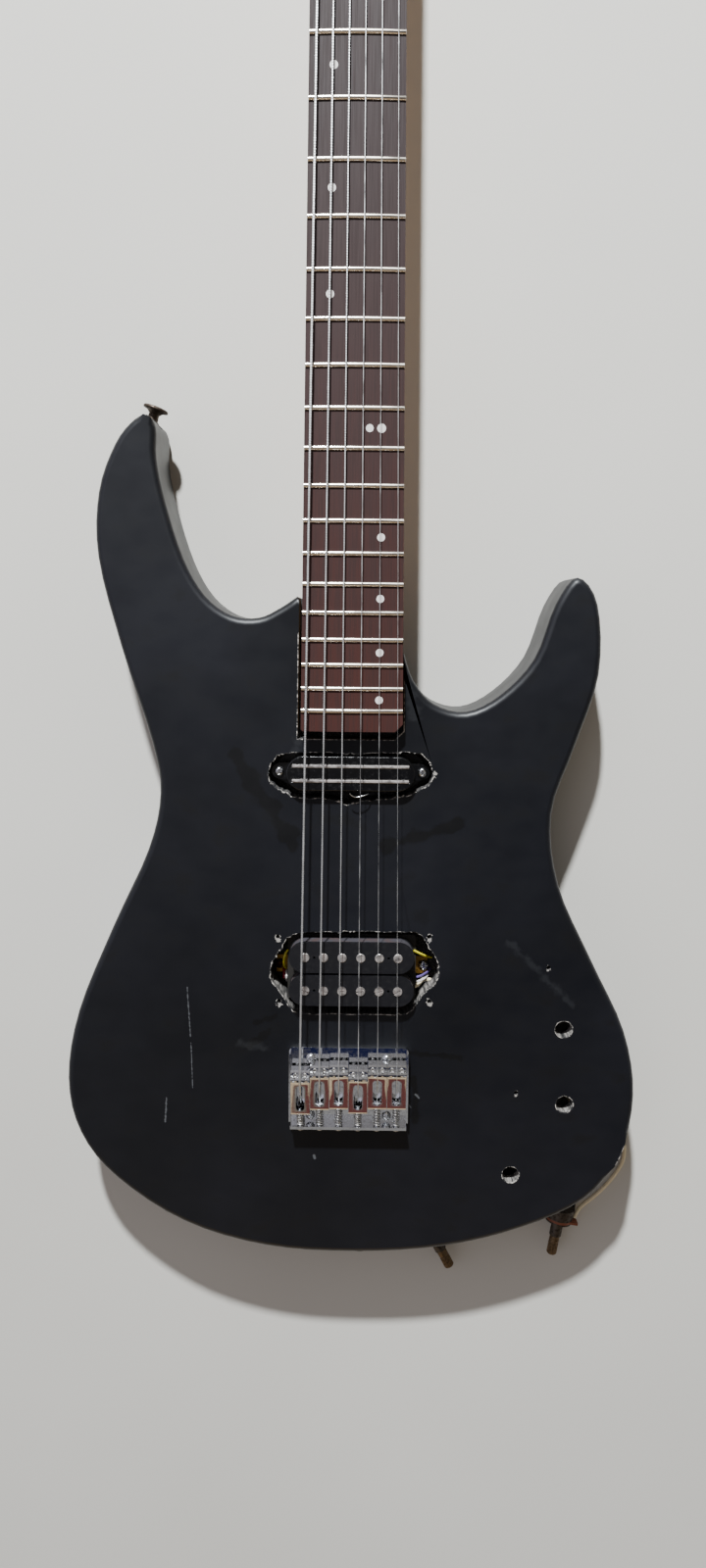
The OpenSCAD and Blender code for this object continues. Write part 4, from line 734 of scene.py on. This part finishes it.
# %% Coil wires and the scrap
for colour in ("yellow", "white", "red", "purple"):
    eased(f"{colour}_coil_wires", [f"lead_{colour}"], 0.01, 1, least=179)
gap_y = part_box("neck_pickup_cover")[0].y / mm
scrap = smooth([(10.2, gap_y - 0.9, 41), (10, gap_y - 1.0, 46), (8.6, gap_y - 1.6, 49.2), (5.5,
    gap_y - 2.6, 50.2), (2.5, gap_y - 3.0, 50.4), (0.4, gap_y - 2.2, 50.6), (-0.8, gap_y - 0.9, 50.8)])
wire("scrap_of_bare_wire", scrap, 0.55, "chromed_steel_screw")

# %% [markdown]
# ## Knurled pot shafts
# A split pot shaft is turned brass with a pressed knurl near its tip, so a push-on knob grips
# it. The knurl is a ring of small teeth. A lathe section swept round in steps, with every
# second step pulled in, gives those teeth; a slot is then cut across the tip.


# %% Pot shafts
def shaft_mesh(number, teeth=18):
    """A split, knurled shaft along the pot's axis, inside the plain shaft of the frame."""
    turn = joints[f"pot_shaft_turn_{number}"]
    out, start = Vector(turn["axis"]), Vector(turn["pos_m"])
    plain = [v.co for v in frame["nodes"][f"pot_shaft_{number}"].data.vertices]
    reach = max((c - start).dot(out) for c in plain)
    radius = 3 * mm
    knurl = 7 * mm
    side = Vector((0, 0, 1))
    across = out.cross(side)
    shape = bmesh.new()
    sections = [(-4 * mm, 0.98, 0), (reach - knurl - 1.2 * mm, 0.98, 0), (reach - knurl - 0.8 * mm,
        0.86, 0), (reach - knurl - 0.3 * mm, 0.86, 0), (reach - knurl, 0.99, 0.1), (reach - 0.7 * mm,
        0.99, 0.1), (reach - 0.05 * mm, 0.82, 0)]
    rings = []
    for along, share, tooth in sections:
        ring = []
        for k in range(teeth * 4):
            angle = 2 * math.pi * k / (teeth * 4)
            r = radius * (share - (tooth if k % 4 in (2, 3) else 0))
            ring.append(shape.verts.new(start + out * along
                + r * (math.cos(angle) * side + math.sin(angle) * across)))
        rings.append(ring)
    for low, high in zip(rings, rings[1:]):
        for k in range(len(low)):
            shape.faces.new((low[k], low[k - 1], high[k - 1], high[k]))
    shape.faces.new(rings[0])
    shape.faces.new(list(reversed(rings[-1])))
    bmesh.ops.recalc_face_normals(shape, faces=shape.faces)
    return shape, start + out * (reach - 3 * mm), side, across, out


for number in (1, 2):
    shape, slot_place, side, across, out = shaft_mesh(number)
    shaft = finish_piece(f"knurled_shaft_{number}", shape, [f"pot_shaft_{number}"], "tarnished_brass",
        rides=f"pot_shaft_{number}")
    slit = bmesh.new()
    bmesh.ops.create_cube(slit, size=1)
    turned = Matrix((across, side, out)).transposed().to_4x4()
    size = Matrix.Diagonal((0.9 * mm, 9 * mm, 9 * mm, 1))
    slit.transform(Matrix.Translation(slot_place + out * 4.5 * mm) @ turned @ size)
    cutter_mesh = bpy.data.meshes.new("slit")
    slit.to_mesh(cutter_mesh)
    slit.free()
    cutter = bpy.data.objects.new("slit", cutter_mesh)
    bpy.context.scene.collection.objects.link(cutter)
    cut = shaft.modifiers.new("slit", "BOOLEAN")
    cut.object, cut.operation, cut.solver = cutter, "DIFFERENCE", "EXACT"
    bpy.context.view_layer.objects.active = shaft
    shaft.select_set(True)
    bpy.context.view_layer.update()
    evaluated = shaft.evaluated_get(bpy.context.evaluated_depsgraph_get())
    whole = bpy.data.meshes.new_from_object(evaluated)
    shaft.modifiers.clear()
    shaft.data = whole
    bpy.data.objects.remove(cutter)
    print(shaft.name, len(whole.polygons), "faces after the slit")
